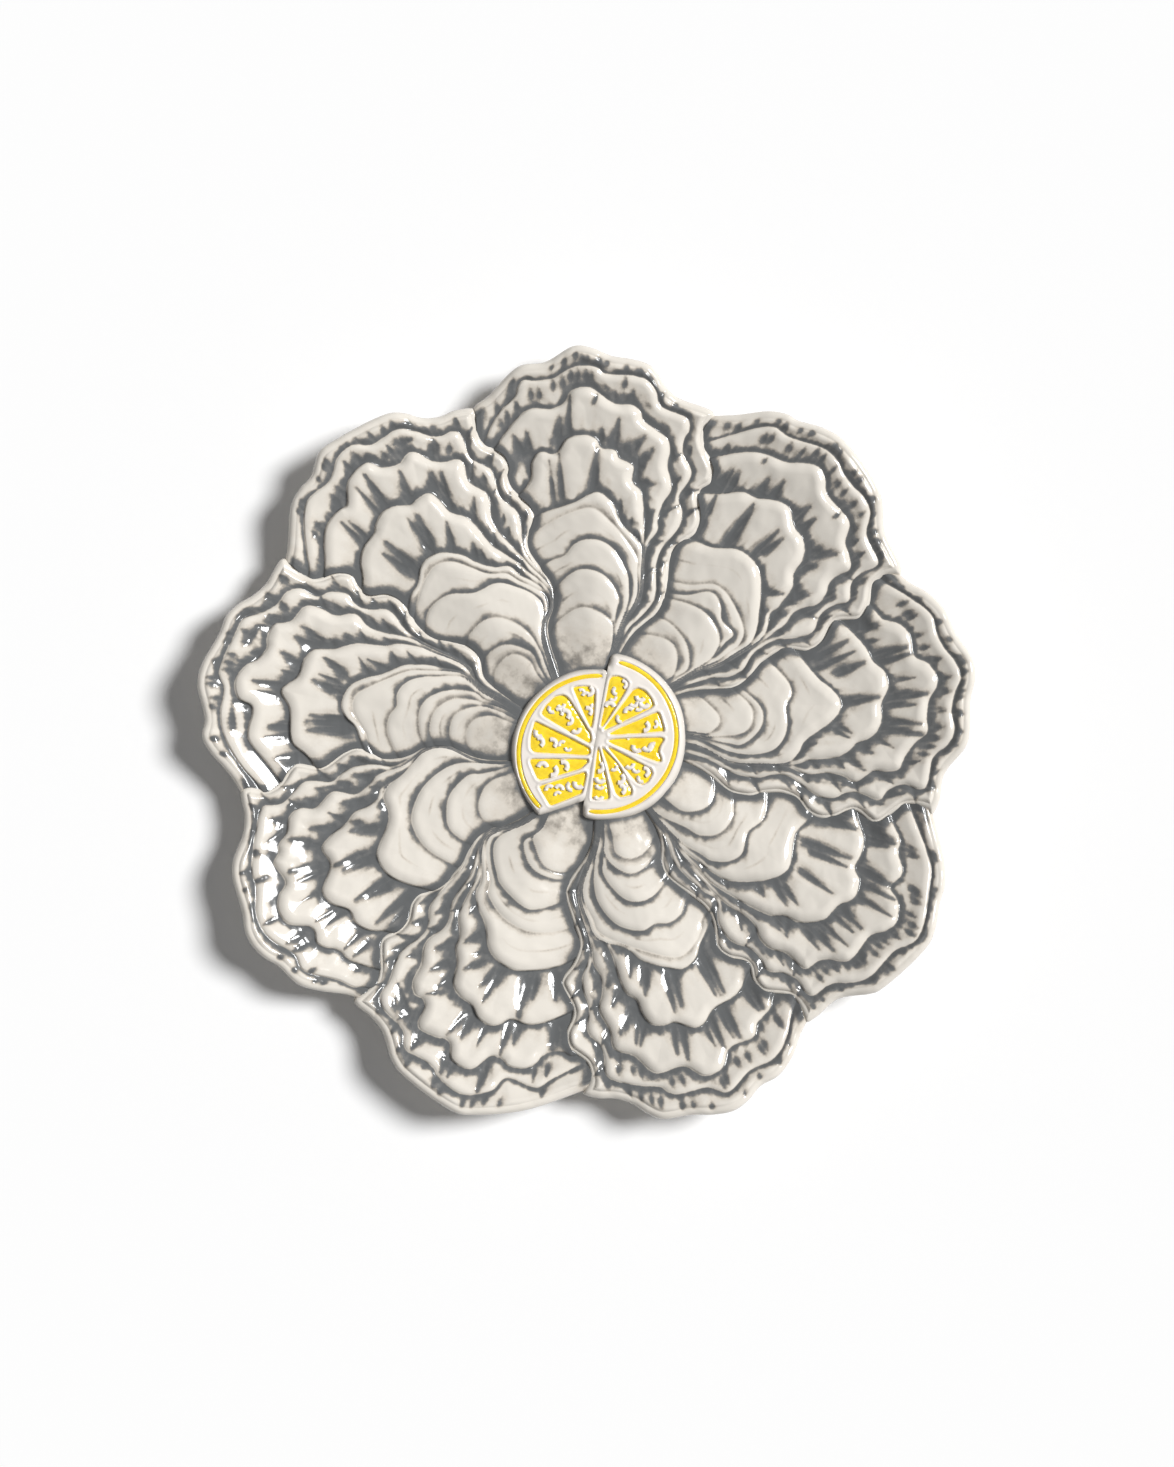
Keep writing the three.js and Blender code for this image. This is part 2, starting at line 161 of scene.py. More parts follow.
def anticlockwise(outline: Array) -> Array:
    """Returns a closed outline in the order that runs anticlockwise."""
    after = np.roll(outline, -1, axis=0)
    area = np.sum(outline[:, 0] * after[:, 1] - outline[:, 1] * after[:, 0])
    return outline if area > 0.0 else outline[::-1]


def smooth_path(points: Array, spacing: float, closed: bool = False) -> Array:
    """Runs a smooth curve through points.

    Args:
        points: Plan points that the curve passes.
        spacing: Distance between the points that are returned.
        closed: Whether the curve runs back to its first point.

    Returns:
        Points at even steps of length, without the first one again where the curve is closed.
    """
    steps = 16
    smallest = 1e-6
    if closed:
        held = np.concatenate([points[-1:], points, points[:2]])
    else:
        held = np.concatenate([2.0 * points[:1] - points[1:2], points, 2.0 * points[-1:] - points[-2:-1]])
    gaps = np.sqrt(np.linalg.norm(np.diff(held, axis=0), axis=1)) + smallest
    share = (np.arange(steps) / steps)[None, :, None]
    before, here, there, after = (held[k : len(held) - 3 + k][:, None, :] for k in range(4))
    first, middle, final = (gaps[k : len(gaps) - 2 + k][:, None, None] for k in range(3))
    run = there - here
    leave = run + middle * ((here - before) / first - (there - before) / (first + middle))
    arrive = run + middle * ((after - there) / final - (after - here) / (middle + final))
    bend = 3.0 * run - 2.0 * leave - arrive + share * (leave + arrive - 2.0 * run)
    fine = here + share * (leave + share * bend)
    last = points[:1] if closed else points[-1:]
    fine = np.concatenate([fine.reshape(-1, 2), last])
    length = np.concatenate([[0.0], np.cumsum(np.linalg.norm(np.diff(fine, axis=0), axis=1))])
    count = max(int(round(length[-1] / spacing)), 2)
    wanted = np.linspace(0.0, length[-1], count + 1)
    even = np.stack([np.interp(wanted, length, fine[:, axis]) for axis in range(2)], axis=-1)
    return even[:-1] if closed else even


def mottle(plan: Array, scale: float, seed: int) -> Array:
    """Gives smooth uneven values over the plan.

    Args:
        plan: Plan points.
        scale: Rough size of the patches.
        seed: Fixed seed of the waves.

    Returns:
        Values from about -1 to 1.
    """
    waves = 7
    draw = np.random.RandomState(seed)
    turns = draw.uniform(0.0, 2.0 * math.pi, waves)
    phases = draw.uniform(0.0, 2.0 * math.pi, waves)
    pitches = draw.uniform(0.7, 1.5, waves) * 2.0 * math.pi / scale
    total = np.zeros(plan.shape[:-1])
    for turn, phase, pitch in zip(turns, phases, pitches):
        total += np.sin((plan[..., 0] * math.cos(turn) + plan[..., 1] * math.sin(turn)) * pitch + phase)
    return total / math.sqrt(2.0 * waves)


def edge_distance(plan: Array, path: Array, reach: float, unknown: float = 1.0) -> Array:
    """Measures how far the points of a grid lie from a line.

    Args:
        plan: Grid of plan points, whose rows go outwards.
        path: Points of the line, with its inner side on the right.
        reach: Distance past which no exact value is needed.
        unknown: Side of a column's points before the line comes within reach, 1 for the inner side.

    Returns:
        Distances, positive on the line's inner side and at most the reach.
    """
    chunk = 8
    flat = plan.reshape(-1, 2)
    steps = np.diff(path, axis=0)
    lengths = np.sum(steps * steps, axis=1)
    inward = np.stack([steps[:, 1], -steps[:, 0]], axis=1)
    inward /= np.linalg.norm(inward, axis=1)[:, None]
    corners = np.concatenate([inward[:1], inward[:-1] + inward[1:], inward[-1:]])
    distance = np.full(len(flat), reach)
    side = np.zeros(len(flat))
    for first in range(0, len(steps), chunk):
        piece = path[first : first + chunk + 1]
        low = piece.min(axis=0) - reach
        high = piece.max(axis=0) + reach
        inside = (flat[:, 0] > low[0]) & (flat[:, 0] < high[0])
        inside &= (flat[:, 1] > low[1]) & (flat[:, 1] < high[1])
        near = np.nonzero(inside)[0]
        if near.size == 0:
            continue
        run = steps[first : first + chunk]
        offset = flat[near][:, None, :] - piece[None, :-1, :]
        share = np.clip(np.einsum("ijk,jk->ij", offset, run) / lengths[first : first + chunk], 0.0, 1.0)
        offset -= share[..., None] * run
        squared = np.einsum("ijk,ijk->ij", offset, offset)
        best = squared.argmin(axis=1)
        rows = np.arange(len(near))
        found = np.sqrt(squared[rows, best])
        closer = found < distance[near]
        rows, best = rows[closer], best[closer]
        near = near[closer]
        distance[near] = found[closer]
        part = share[rows, best][:, None]
        normal = between(corners[first + best], corners[first + best + 1], part)
        side[near] = np.where(np.einsum("ij,ij->i", offset[rows, best], normal) >= 0.0, 1.0, -1.0)
    side = side.reshape(plan.shape[:2])
    known = np.where(side != 0.0, np.arange(plan.shape[0])[:, None], 0)
    np.maximum.accumulate(known, axis=0, out=known)
    side = side[known, np.arange(plan.shape[1])[None, :]]
    side[side == 0.0] = unknown
    return distance.reshape(plan.shape[:2]) * side


def polygon_depth(points: Array, corners: Array) -> Array:
    """Measures how deep points lie inside a closed outline.

    Args:
        points: Plan points.
        corners: Points of the outline, without the first one again.

    Returns:
        Distances, positive inside.
    """
    smallest = 1e-9
    after = np.roll(corners, -1, axis=0)
    nearest = np.full(points.shape[:-1], np.inf)
    inside = np.zeros(points.shape[:-1], dtype=bool)
    for start, end in zip(corners, after):
        run = end - start
        offset = points - start
        share = np.clip(offset @ run / max(float(run @ run), smallest), 0.0, 1.0)
        nearest = np.minimum(nearest, np.linalg.norm(offset - share[..., None] * run, axis=-1))
        if start[1] != end[1]:
            crossing = (points[..., 1] > start[1]) != (points[..., 1] > end[1])
            inside ^= crossing & (points[..., 0] < start[0] + (points[..., 1] - start[1]) / run[1] * run[0])
    return np.where(inside, nearest, -nearest)


# Meshes


@dataclass
class Surface:
    """Vertices and faces that are gathered for one mesh."""

    vertices: list[Array] = field(default_factory=list)
    smooth_faces: list[Array] = field(default_factory=list)
    flat_faces: list[Array] = field(default_factory=list)
    count: int = 0

    def add_points(self, points: Array) -> Array:
        """Adds points in millimetres.

        Args:
            points: Points, in any arrangement.

        Returns:
            Their numbers, in the same arrangement.
        """
        numbers = np.arange(self.count, self.count + points[..., 0].size).reshape(points.shape[:-1])
        self.vertices.append(points.reshape(-1, 3))
        self.count += numbers.size
        return numbers

    def add_quads(self, first: Array, second: Array, third: Array, fourth: Array) -> None:
        """Adds smooth faces with four corners, from four arrays of numbers."""
        self.smooth_faces.append(np.stack([first, second, third, fourth], axis=-1).reshape(-1, 4))

    def add_grid(self, grid: Array) -> None:
        """Joins a grid of numbers, whose rows run outwards and columns clockwise, by faces that look up."""
        self.add_quads(grid[:-1, :-1], grid[:-1, 1:], grid[1:, 1:], grid[1:, :-1])

    def add_strip(self, upper: Array, lower: Array) -> None:
        """Joins two rows of numbers by faces that look to the right of the upper row's direction."""
        self.add_quads(upper[:-1], lower[:-1], lower[1:], upper[1:])

    def add_flat(self, corners: Iterable[int]) -> None:
        """Adds one flat face."""
        self.flat_faces.append(np.array(list(corners), dtype=np.int64))

    def add_tube(self, rings: Array) -> None:
        """Joins closed rings of numbers, by faces that look out where the rings run anticlockwise."""
        closed = np.concatenate([rings, rings[:, :1]], axis=1)
        self.add_quads(closed[:-1, :-1], closed[1:, :-1], closed[1:, 1:], closed[:-1, 1:])
        self.add_flat(rings[0])
        self.add_flat(rings[-1][::-1])

    def mesh(self, name: str) -> bpy.types.Mesh:
        """Makes the mesh, in metres.

        Args:
            name: Name of the mesh.

        Returns:
            The mesh, with smooth and flat faces as they were added.
        """
        points = np.concatenate(self.vertices) * METRES
        corners: list[Array] = []
        totals: list[Array] = []
        for faces in self.smooth_faces:
            corners.append(faces.ravel())
            totals.append(np.full(len(faces), faces.shape[1]))
        smooth_count = sum(len(total) for total in totals)
        for face in self.flat_faces:
            corners.append(face)
            totals.append(np.array([len(face)]))
        loops = np.concatenate(corners).astype(np.int32)
        sizes = np.concatenate(totals)
        starts = np.concatenate([[0], np.cumsum(sizes)[:-1]]).astype(np.int32)
        mesh = bpy.data.meshes.new(name)
        mesh.vertices.add(len(points))
        mesh.vertices.foreach_set("co", points.astype(np.float32).ravel())
        mesh.loops.add(len(loops))
        mesh.loops.foreach_set("vertex_index", loops)
        mesh.polygons.add(len(sizes))
        mesh.polygons.foreach_set("loop_start", starts)
        mesh.polygons.foreach_set("use_smooth", np.arange(len(sizes)) < smooth_count)
        mesh.update(calc_edges=True)
        return mesh


def set_attribute(mesh: bpy.types.Mesh, name: str, values: Array) -> None:
    """Writes one number per vertex as a named attribute."""
    attribute = mesh.attributes.new(name, "FLOAT", "POINT")
    attribute.data.foreach_set("value", values.astype(np.float32).ravel())


def place_piece(
    name: str, mesh: bpy.types.Mesh, material: bpy.types.Material, nodes: Sequence[str]
) -> None:
    """Puts a piece in the scene, on the plate's body.

    Args:
        name: Name of the piece.
        mesh: Its mesh, in the plate's frame.
        material: Its finish.
        nodes: The solids that the piece stands for.
    """
    mesh.materials.clear()
    mesh.materials.append(material)
    piece = bpy.data.objects.new(name, mesh)
    bpy.context.scene.collection.objects.link(piece)
    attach(piece, BODY)
    if nodes:
        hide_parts(*nodes)
    LOG.info("%s: %d vertices, %d faces", name, len(mesh.vertices), len(mesh.polygons))


# Nodes


class NodeDesk:
    """A node tree, and the one method that adds nodes to it."""

    def __init__(self, tree: bpy.types.NodeTree) -> None:
        """Starts with an empty tree."""
        self.tree = tree
        tree.nodes.clear()

    def node(
        self, kind: str, settings: Settings | None = None, sockets: Sockets | None = None
    ) -> bpy.types.Node:
        """Adds one node.

        Args:
            kind: Type of the node.
            settings: Properties that are set first. A ramp's stops are pairs of place and colour.
            sockets: Values or wires of its inputs, by name or number.

        Returns:
            The node.
        """
        made = self.tree.nodes.new(kind)
        for name, value in (settings or {}).items():
            if name == "stops":
                ramp = made.color_ramp
                while len(ramp.elements) < len(value):
                    ramp.elements.new(1.0)
                for element, (place, colour) in zip(ramp.elements, value):
                    element.position = place
                    element.color = colour
            else:
                setattr(made, name, value)
        for key, value in (sockets or {}).items():
            if isinstance(value, Wire):
                self.tree.links.new(value.socket, made.inputs[key])
            else:
                made.inputs[key].default_value = value
        return made

    def wire(
        self,
        kind: str,
        settings: Settings | None = None,
        sockets: Sockets | None = None,
        output: str | int = 0,
    ) -> "Wire":
        """Adds one node and returns one of its outputs as a wire."""
        return Wire(self, self.node(kind, settings, sockets).outputs[output])


class Wire:
    """A node's output that takes part in Python expressions."""

    def __init__(self, desk: NodeDesk, socket: bpy.types.NodeSocket) -> None:
        """Holds the socket and the desk that adds nodes after it."""
        self.desk = desk
        self.socket = socket

    def maths(self, operation: str, first: object, second: object) -> "Wire":
        """Returns the result of one Math node."""
        return self.desk.wire("ShaderNodeMath", {"operation": operation}, {0: first, 1: second})

    def __add__(self, other: object) -> "Wire":
        """Returns this plus the other."""
        return self.maths("ADD", self, other)

    __radd__ = __add__

    def __sub__(self, other: object) -> "Wire":
        """Returns this less the other."""
        return self.maths("SUBTRACT", self, other)

    def __rsub__(self, other: object) -> "Wire":
        """Returns the other less this."""
        return self.maths("SUBTRACT", other, self)

    def __mul__(self, other: object) -> "Wire":
        """Returns this times the other."""
        return self.maths("MULTIPLY", self, other)

    __rmul__ = __mul__


class MaterialDesk(NodeDesk):
    """The node tree of one material."""

    def __init__(self, name: str) -> None:
        """Makes the material and empties its tree."""
        self.material = bpy.data.materials.new(name)
        self.material.use_nodes = True
        super().__init__(self.material.node_tree)
        self.place = self.wire("ShaderNodeTexCoord", output="Object")

    def noise(self, size: float, detail: float) -> Wire:
        """Adds noise over the piece.

        Args:
            size: Rough size of its patches, in millimetres.
            detail: Number of finer layers.

        Returns:
            Values round 0.5.
        """
        sockets = {"Vector": self.place, "Scale": 1.0 / (size * METRES), "Detail": detail}
        return self.wire("ShaderNodeTexNoise", {}, sockets, "Fac")

    def reading(self, name: str) -> Wire:
        """Returns a named attribute of the mesh."""
        return self.wire("ShaderNodeAttribute", {"attribute_name": name}, output="Fac")

    def finish(self, level: Wire, stops: Stops, roughness: float, bump: Wire) -> None:
        """Ends the tree in a surface shader.

        Args:
            level: Places on the colour ramp.
            stops: Places and colours of the ramp.
            roughness: Roughness of the surface.
            bump: The fine normal.
        """
        colour = self.wire("ShaderNodeValToRGB", {"stops": stops}, {"Fac": level}, "Color")
        sockets = {"Base Color": colour, "Roughness": roughness, "Normal": bump}
        shader = self.wire("ShaderNodeBsdfPrincipled", {}, sockets)
        self.node("ShaderNodeOutputMaterial", {}, {"Surface": shader})

    def bump(self, strength: float, distance: float, height: Wire) -> Wire:
        """Returns the normal of a fine unevenness, whose distance is in millimetres."""
        sockets = {"Strength": strength, "Distance": distance * METRES, "Height": height}
        return self.wire("ShaderNodeBump", {}, sockets, "Normal")


def tone(red: int, green: int, blue: int) -> Colour:
    """Returns a linear colour for red, green and blue from 0 to 255."""
    parts = []
    for level in (red, green, blue):
        share = level / 255.0
        parts.append(share / 12.92 if share <= 0.04045 else ((share + 0.055) / 1.055) ** 2.4)
    return (parts[0], parts[1], parts[2], 1.0)


# Finishes


@dataclass(frozen=True)
class ShellGlaze:
    """Cream glaze that runs thin on high places, over a grey wash that pools in the relief."""

    cream: Colour = tone(227, 221, 211)
    thin: Colour = tone(216, 208, 196)
    wash: Colour = tone(160, 153, 143)
    dark: Colour = tone(114, 114, 113)
    deep: Colour = tone(93, 95, 96)
    roughness: float = 0.11
    patch_size: float = 7.0
    patch_share: float = 0.2
    grain_size: float = 0.9
    grain_share: float = 0.16
    pool_least: float = 0.84
    pool_grain: float = 0.32
    brush_size: float = 4.5
    brush_gain: float = 1.3
    brush_loss: float = 0.15
    bump_size: float = 3.0
    bump_strength: float = 0.06
    bump_depth: float = 0.2

    def material(self) -> bpy.types.Material:
        """Returns the glaze as a material."""
        desk = MaterialDesk(Slot.SHELL.value)
        patches = desk.noise(self.patch_size, 3.0)
        grain = desk.noise(self.grain_size, 4.0)
        brushed = desk.noise(self.brush_size, 4.0)
        level = desk.reading("pool") * (self.pool_least + self.pool_grain * grain)
        level = level + desk.reading("wash") * (brushed * self.brush_gain - self.brush_loss)
        level = level + (patches - 0.5) * self.patch_share + (grain - 0.5) * self.grain_share
        stops = [
            (0.08, self.cream), (0.27, self.thin), (0.48, self.wash), (0.64, self.dark), (1.0, self.deep),
        ]
        bump = desk.bump(self.bump_strength, self.bump_depth, desk.noise(self.bump_size, 3.0))
        desk.finish(level, stops, self.roughness, bump)
        return desk.material


@dataclass(frozen=True)
class BodyGlaze:
    """Plain cream glaze of the underside, a little uneven."""

    cream: Colour = tone(222, 215, 204)
    thin: Colour = tone(203, 196, 184)
    roughness: float = 0.16
    patch_size: float = 18.0
    patch_share: float = 0.8
    speck_size: float = 1.2
    speck_share: float = 0.25
    bump_size: float = 6.0
    bump_strength: float = 0.15
    bump_depth: float = 0.3

    def material(self) -> bpy.types.Material:
        """Returns the glaze as a material."""
        desk = MaterialDesk(Slot.BODY.value)
        level = desk.noise(self.patch_size, 4.0) * self.patch_share
        level = level + desk.noise(self.speck_size, 3.0) * self.speck_share
        bump = desk.bump(self.bump_strength, self.bump_depth, desk.noise(self.bump_size, 3.0))
        desk.finish(level, [(0.35, self.cream), (0.75, self.thin)], self.roughness, bump)
        return desk.material


@dataclass(frozen=True)
class BareClay:
    """Unglazed clay of the foot."""

    pale: Colour = tone(214, 197, 173)
    brown: Colour = tone(188, 166, 138)
    roughness: float = 0.72
    patch_size: float = 9.0
    patch_share: float = 0.6
    grit_size: float = 0.5
    grit_share: float = 0.4
    bump_strength: float = 0.4
    bump_depth: float = 0.2

    def material(self) -> bpy.types.Material:
        """Returns the clay as a material."""
        desk = MaterialDesk(Slot.FOOT.value)
        grit = desk.noise(self.grit_size, 2.0)
        level = desk.noise(self.patch_size, 5.0) * self.patch_share + grit * self.grit_share
        bump = desk.bump(self.bump_strength, self.bump_depth, grit)
        desk.finish(level, [(0.3, self.pale), (0.8, self.brown)], self.roughness, bump)
        return desk.material


@dataclass(frozen=True)
class LemonPith:
    """White glaze of the pith, greyer over the rolled edge and side wall of a slice, partly thin glaze and
    partly painted shade.
    """

    white: Colour = tone(243, 236, 228)
    grey: Colour = tone(168, 163, 152)
    roughness: float = 0.1
    patch_size: float = 3.0
    patch_share: float = 0.12
    bump_size: float = 2.0
    bump_strength: float = 0.1
    bump_depth: float = 0.2

    def material(self) -> bpy.types.Material:
        """Returns the glaze as a material."""
        desk = MaterialDesk(Slot.PITH.value)
        level = desk.reading("pool") + (desk.noise(self.patch_size, 3.0) - 0.5) * self.patch_share
        bump = desk.bump(self.bump_strength, self.bump_depth, desk.noise(self.bump_size, 2.0))
        desk.finish(level, [(0.05, self.white), (1.0, self.grey)], self.roughness, bump)
        return desk.material


@dataclass(frozen=True)
class LemonYellow:
    """Clear yellow glaze, lighter and deeper in small patches."""

    light: Colour = tone(255, 226, 48)
    deep: Colour = tone(246, 207, 14)
    roughness: float = 0.1
    patch_size: float = 2.6
    bump_size: float = 2.4
    bump_strength: float = 0.14
    bump_depth: float = 0.3

    def material(self) -> bpy.types.Material:
        """Returns the glaze as a material."""
        desk = MaterialDesk(Slot.YELLOW.value)
        bump = desk.bump(self.bump_strength, self.bump_depth, desk.noise(self.bump_size, 2.0))
        stops = [(0.3, self.deep), (0.7, self.light)]
        desk.finish(desk.noise(self.patch_size, 3.0), stops, self.roughness, bump)
        return desk.material


# Dish


@dataclass(frozen=True)
class Dish:
    """Heights of the dish under the shells, as the solids have them."""

    foot_height: float = 4.0
    thickness: float = 3.0
    rim_thickness: float = 2.4
    flat_radius: float = 78.0
    rise_width: float = 60.0
    rim_rise: float = 11.0
    gap: float = 0.3

    def top(self, radius: Array) -> Array:
        """Returns the height of the dish's upper face."""
        share = np.maximum(radius - self.flat_radius, 0.0) / self.rise_width
        return self.foot_height + self.thickness + self.rim_rise * share * share

    def underside(self, radius: Array) -> Array:
        """Returns the height of the dish's lower face."""
        share = np.clip((radius - self.flat_radius) / self.rise_width, 0.0, 1.0)
        return self.top(radius) - between(self.thickness, self.rim_thickness, share)

    def seat(self, radius: Array) -> Array:
        """Returns the height that a shell stands on."""
        return self.top(radius) + self.gap


# Shells


def followed(points: Trace, outer: Array) -> Array:
    """Runs a line through its own points, and on beside the line outside it.

    Args:
        points: Angles and radii of the line's own points.
        outer: Plan points of the line outside it.

    Returns:
        Plan points of the line, down to the lemon.
    """
    closest, closing, stride = 28.0, 18.0, 4.0
    angle, radius = points[-1]
    tail = outer[int(np.argmax(np.linalg.norm(outer, axis=1))) :]
    falling = np.minimum.accumulate(np.linalg.norm(tail, axis=1))[::-1]
    turns = np.degrees(np.arctan2(tail[:, 0], tail[:, 1]))[::-1]
    gap = (np.interp(radius, falling, turns) - angle) * radius
    radii = np.arange(radius - stride, LINE_END, -stride)
    gaps = between(gap, min(gap, closest), eased(radius - radii, 0.0, closing))
    angles = np.interp(radii, falling, turns) - gaps / radii
    whole = np.concatenate([np.array(points), np.stack([angles, radii], axis=-1)])
    return smooth_path(plan_points(whole[:, 0], whole[:, 1]), LINE_SPACING)


@dataclass(frozen=True)
class Ring:
    """A growth ring across a shell's body, with the weight of its line."""

    weight: float
    points: Trace


@dataclass(frozen=True)
class ShellForm:
    """The lines of one shell as angles and radii, from its lip inwards, with its folds and dimples.

    The outline runs round the front to the shoulder, then down the flank. A fold is a start, an end and
    a width, and a dimple is a single point.
    """

    tip: float
    front: Trace
    flank: Trace
    lip_base: Trace
    outer_frill: Trace
    inner_frill: Trace
    body: Trace
    rings: tuple[Ring, ...]
    folds: tuple[tuple[float, ...], ...]
    dimples: Trace

    def outline(self, spacing: float = LINE_SPACING) -> Array:
        """Returns the outline as plan points, extended under the lemon."""
        tail_turn = 2.0
        tail = (self.flank[-1][0] - tail_turn, LINE_END)
        points = np.array([*self.front, *self.flank, tail])
        return smooth_path(plan_points(points[:, 0], points[:, 1]), spacing)

    def outline_parts(self) -> tuple[Array, Array]:
        """Splits the outline at its shoulder.

        Returns:
            The front's and the flank's points, each as rows of angle and radius.
        """
        path = self.outline(FINE_SPACING)
        shoulder = plan_points(np.array(self.front[-1][0]), np.array(self.front[-1][1]))
        split = int(np.argmin(np.linalg.norm(path - shoulder, axis=1)))
        angle = np.degrees(np.arctan2(path[:, 0], path[:, 1]))
        polar = np.stack([angle, np.linalg.norm(path, axis=1)], axis=-1)
        return polar[: split + 1], polar[split:]

    def paths(self) -> list[Array]:
        """Returns the plan points of every line, from the lip inwards."""
        paths = [self.outline()]
        rings = [ring.points for ring in self.rings]
        for points in (self.lip_base, self.outer_frill, self.inner_frill, self.body, *rings):
            paths.append(followed(points, paths[-1]))
        return paths


SHELL_1 = ShellForm(
    tip=-1,
    front=(
        (-24, 117), (-17.4, 124.2), (-15.5, 125.5), (-9.5, 133.2), (-5.5, 133.3), (-1, 138), (1.5, 137.3),
        (4.5, 134.8), (7.5, 134.3), (10.5, 133), (15, 124.8), (22.2, 122.8),
    ),
    flank=(
        (21.7, 116), (22.2, 112.5), (26.3, 104.5), (26.6, 100), (25.3, 96), (28.4, 87.5), (28.8, 82.5),
        (26, 75), (25.9, 69), (29.4, 58), (30.2, 52.5), (24.3, 41), (22.2, 35), (20, 19),
    ),
    lip_base=(
        (-24, 101), (-14.3, 118.8), (-10.8, 123.5), (-10.3, 126), (-9.3, 127.8), (-7, 126.9), (-4.2, 127.3),
        (-3, 128.8), (0, 131), (2.6, 130), (3.2, 128.6), (4.5, 128), (7.5, 128.4), (10.3, 127.6),
        (12, 124.5), (13.3, 119.8), (18.3, 117.8), (19.1, 114), (18.8, 111.5), (19.2, 106.5), (22.2, 100.5),
        (21.6, 90.8), (23.6, 86.5), (24.1, 81.5), (22, 71.5), (22.3, 66), (26, 56), (25.8, 51.5),
        (23.8, 46.5),
    ),
    outer_frill=(
        (-24, 98), (-16.3, 108.5), (-9.3, 117.7), (-5, 116.8), (-2.8, 119), (-2.2, 121.3), (-1.2, 123),
        (1.2, 123.4), (5.5, 118.2), (8.5, 118.4), (10.2, 116.3), (10.7, 114), (15.8, 109.2), (16.9, 105),
        (17.2, 100), (19, 95), (19.4, 92.5), (18.5, 87), (18.6, 81), (19.3, 78), (17.9, 70.5), (21.5, 53.5),
    ),
    inner_frill=(
        (-24, 86), (-11.8, 93), (-10.3, 100), (-8.5, 102.6), (-5.5, 101.2), (-3, 106), (0, 107),
        (2.5, 105.8), (3.8, 102.5), (6, 102.5), (6.8, 101.5), (7.2, 99.8), (10.5, 97.5), (10.7, 92.3),
        (12.8, 89.8), (14.2, 85), (17.7, 68),
    ),
    body=(
        (-24, 76), (-12, 81), (-2, 83.8), (2.5, 87.2), (3.8, 87), (7.3, 83), (9.7, 77), (16, 71.3),
        (17.3, 67.5),
    ),
    rings=(
        Ring(0.4, ((-24, 73), (-4, 79.8), (2, 81.4), (7, 77), (12.5, 70.8), (16.3, 66))),
        Ring(1.0, ((-24, 61), (-11, 64.3), (-6, 65.5), (-3, 69), (0.5, 70.5), (4.5, 70.2), (8.5, 67.8),
        (14.5, 59.8))),
        Ring(0.8, ((-24, 48), (-2.5, 59.8), (6.5, 58.2), (13.3, 51))),
        Ring(0.5, ((-24, 38), (-12, 43.5), (-1, 46.6), (12, 42.7), (14.2, 38.5))),
    ),
    folds=(
        (-7, 84.5, -6.9, 99, 0.5), (-5, 84.5, -4.8, 101, 0.7), (2.2, 87.5, 3, 101.5, 1.2),
        (8.6, 80.5, 8.9, 84.5, 1), (12, 77, 12.3, 79.3, 0.5), (-12, 103, -12.6, 109.5, 1.1),
        (-10.6, 103, -10.3, 109.5, 1.1), (-4.6, 105, -4, 113, 1.3), (-2.6, 106.5, -2, 121, 0.7),
        (3.2, 104, 3.6, 108.5, 1.4), (6, 103, 6.6, 112.5, 1), (8.2, 100, 11.5, 107.5, 1.7),
        (11.3, 96.5, 13.5, 104, 1.3), (11.9, 91.5, 15.5, 92.6, 1), (15.5, 80, 17, 83.5, 1),
        (2, 118, 2.6, 121, 0.5),
    ),
    dimples=(
        (-14.3, 115), (-12.9, 117), (-11, 119.5), (-8.3, 123), (-7, 122.5), (-4.6, 125), (-3, 125.5),
        (-1.6, 127.5), (-0.6, 128), (0.8, 127.5), (1.6, 127), (7, 125.7), (5.5, 121), (7, 120.5),
        (8.5, 121.5), (14.3, 112), (20.4, 107.5), (-14.2, 121), (-12.2, 122.5), (-11.3, 126),
        (-10.8, 128.3), (-4.5, 132.5), (-2.5, 133), (-0.8, 135), (0.2, 133), (1, 132.5), (2.8, 133),
        (4, 132.5), (7, 130.5), (9.2, 130.3), (11.2, 128), (15.8, 121.8),
    ),
)
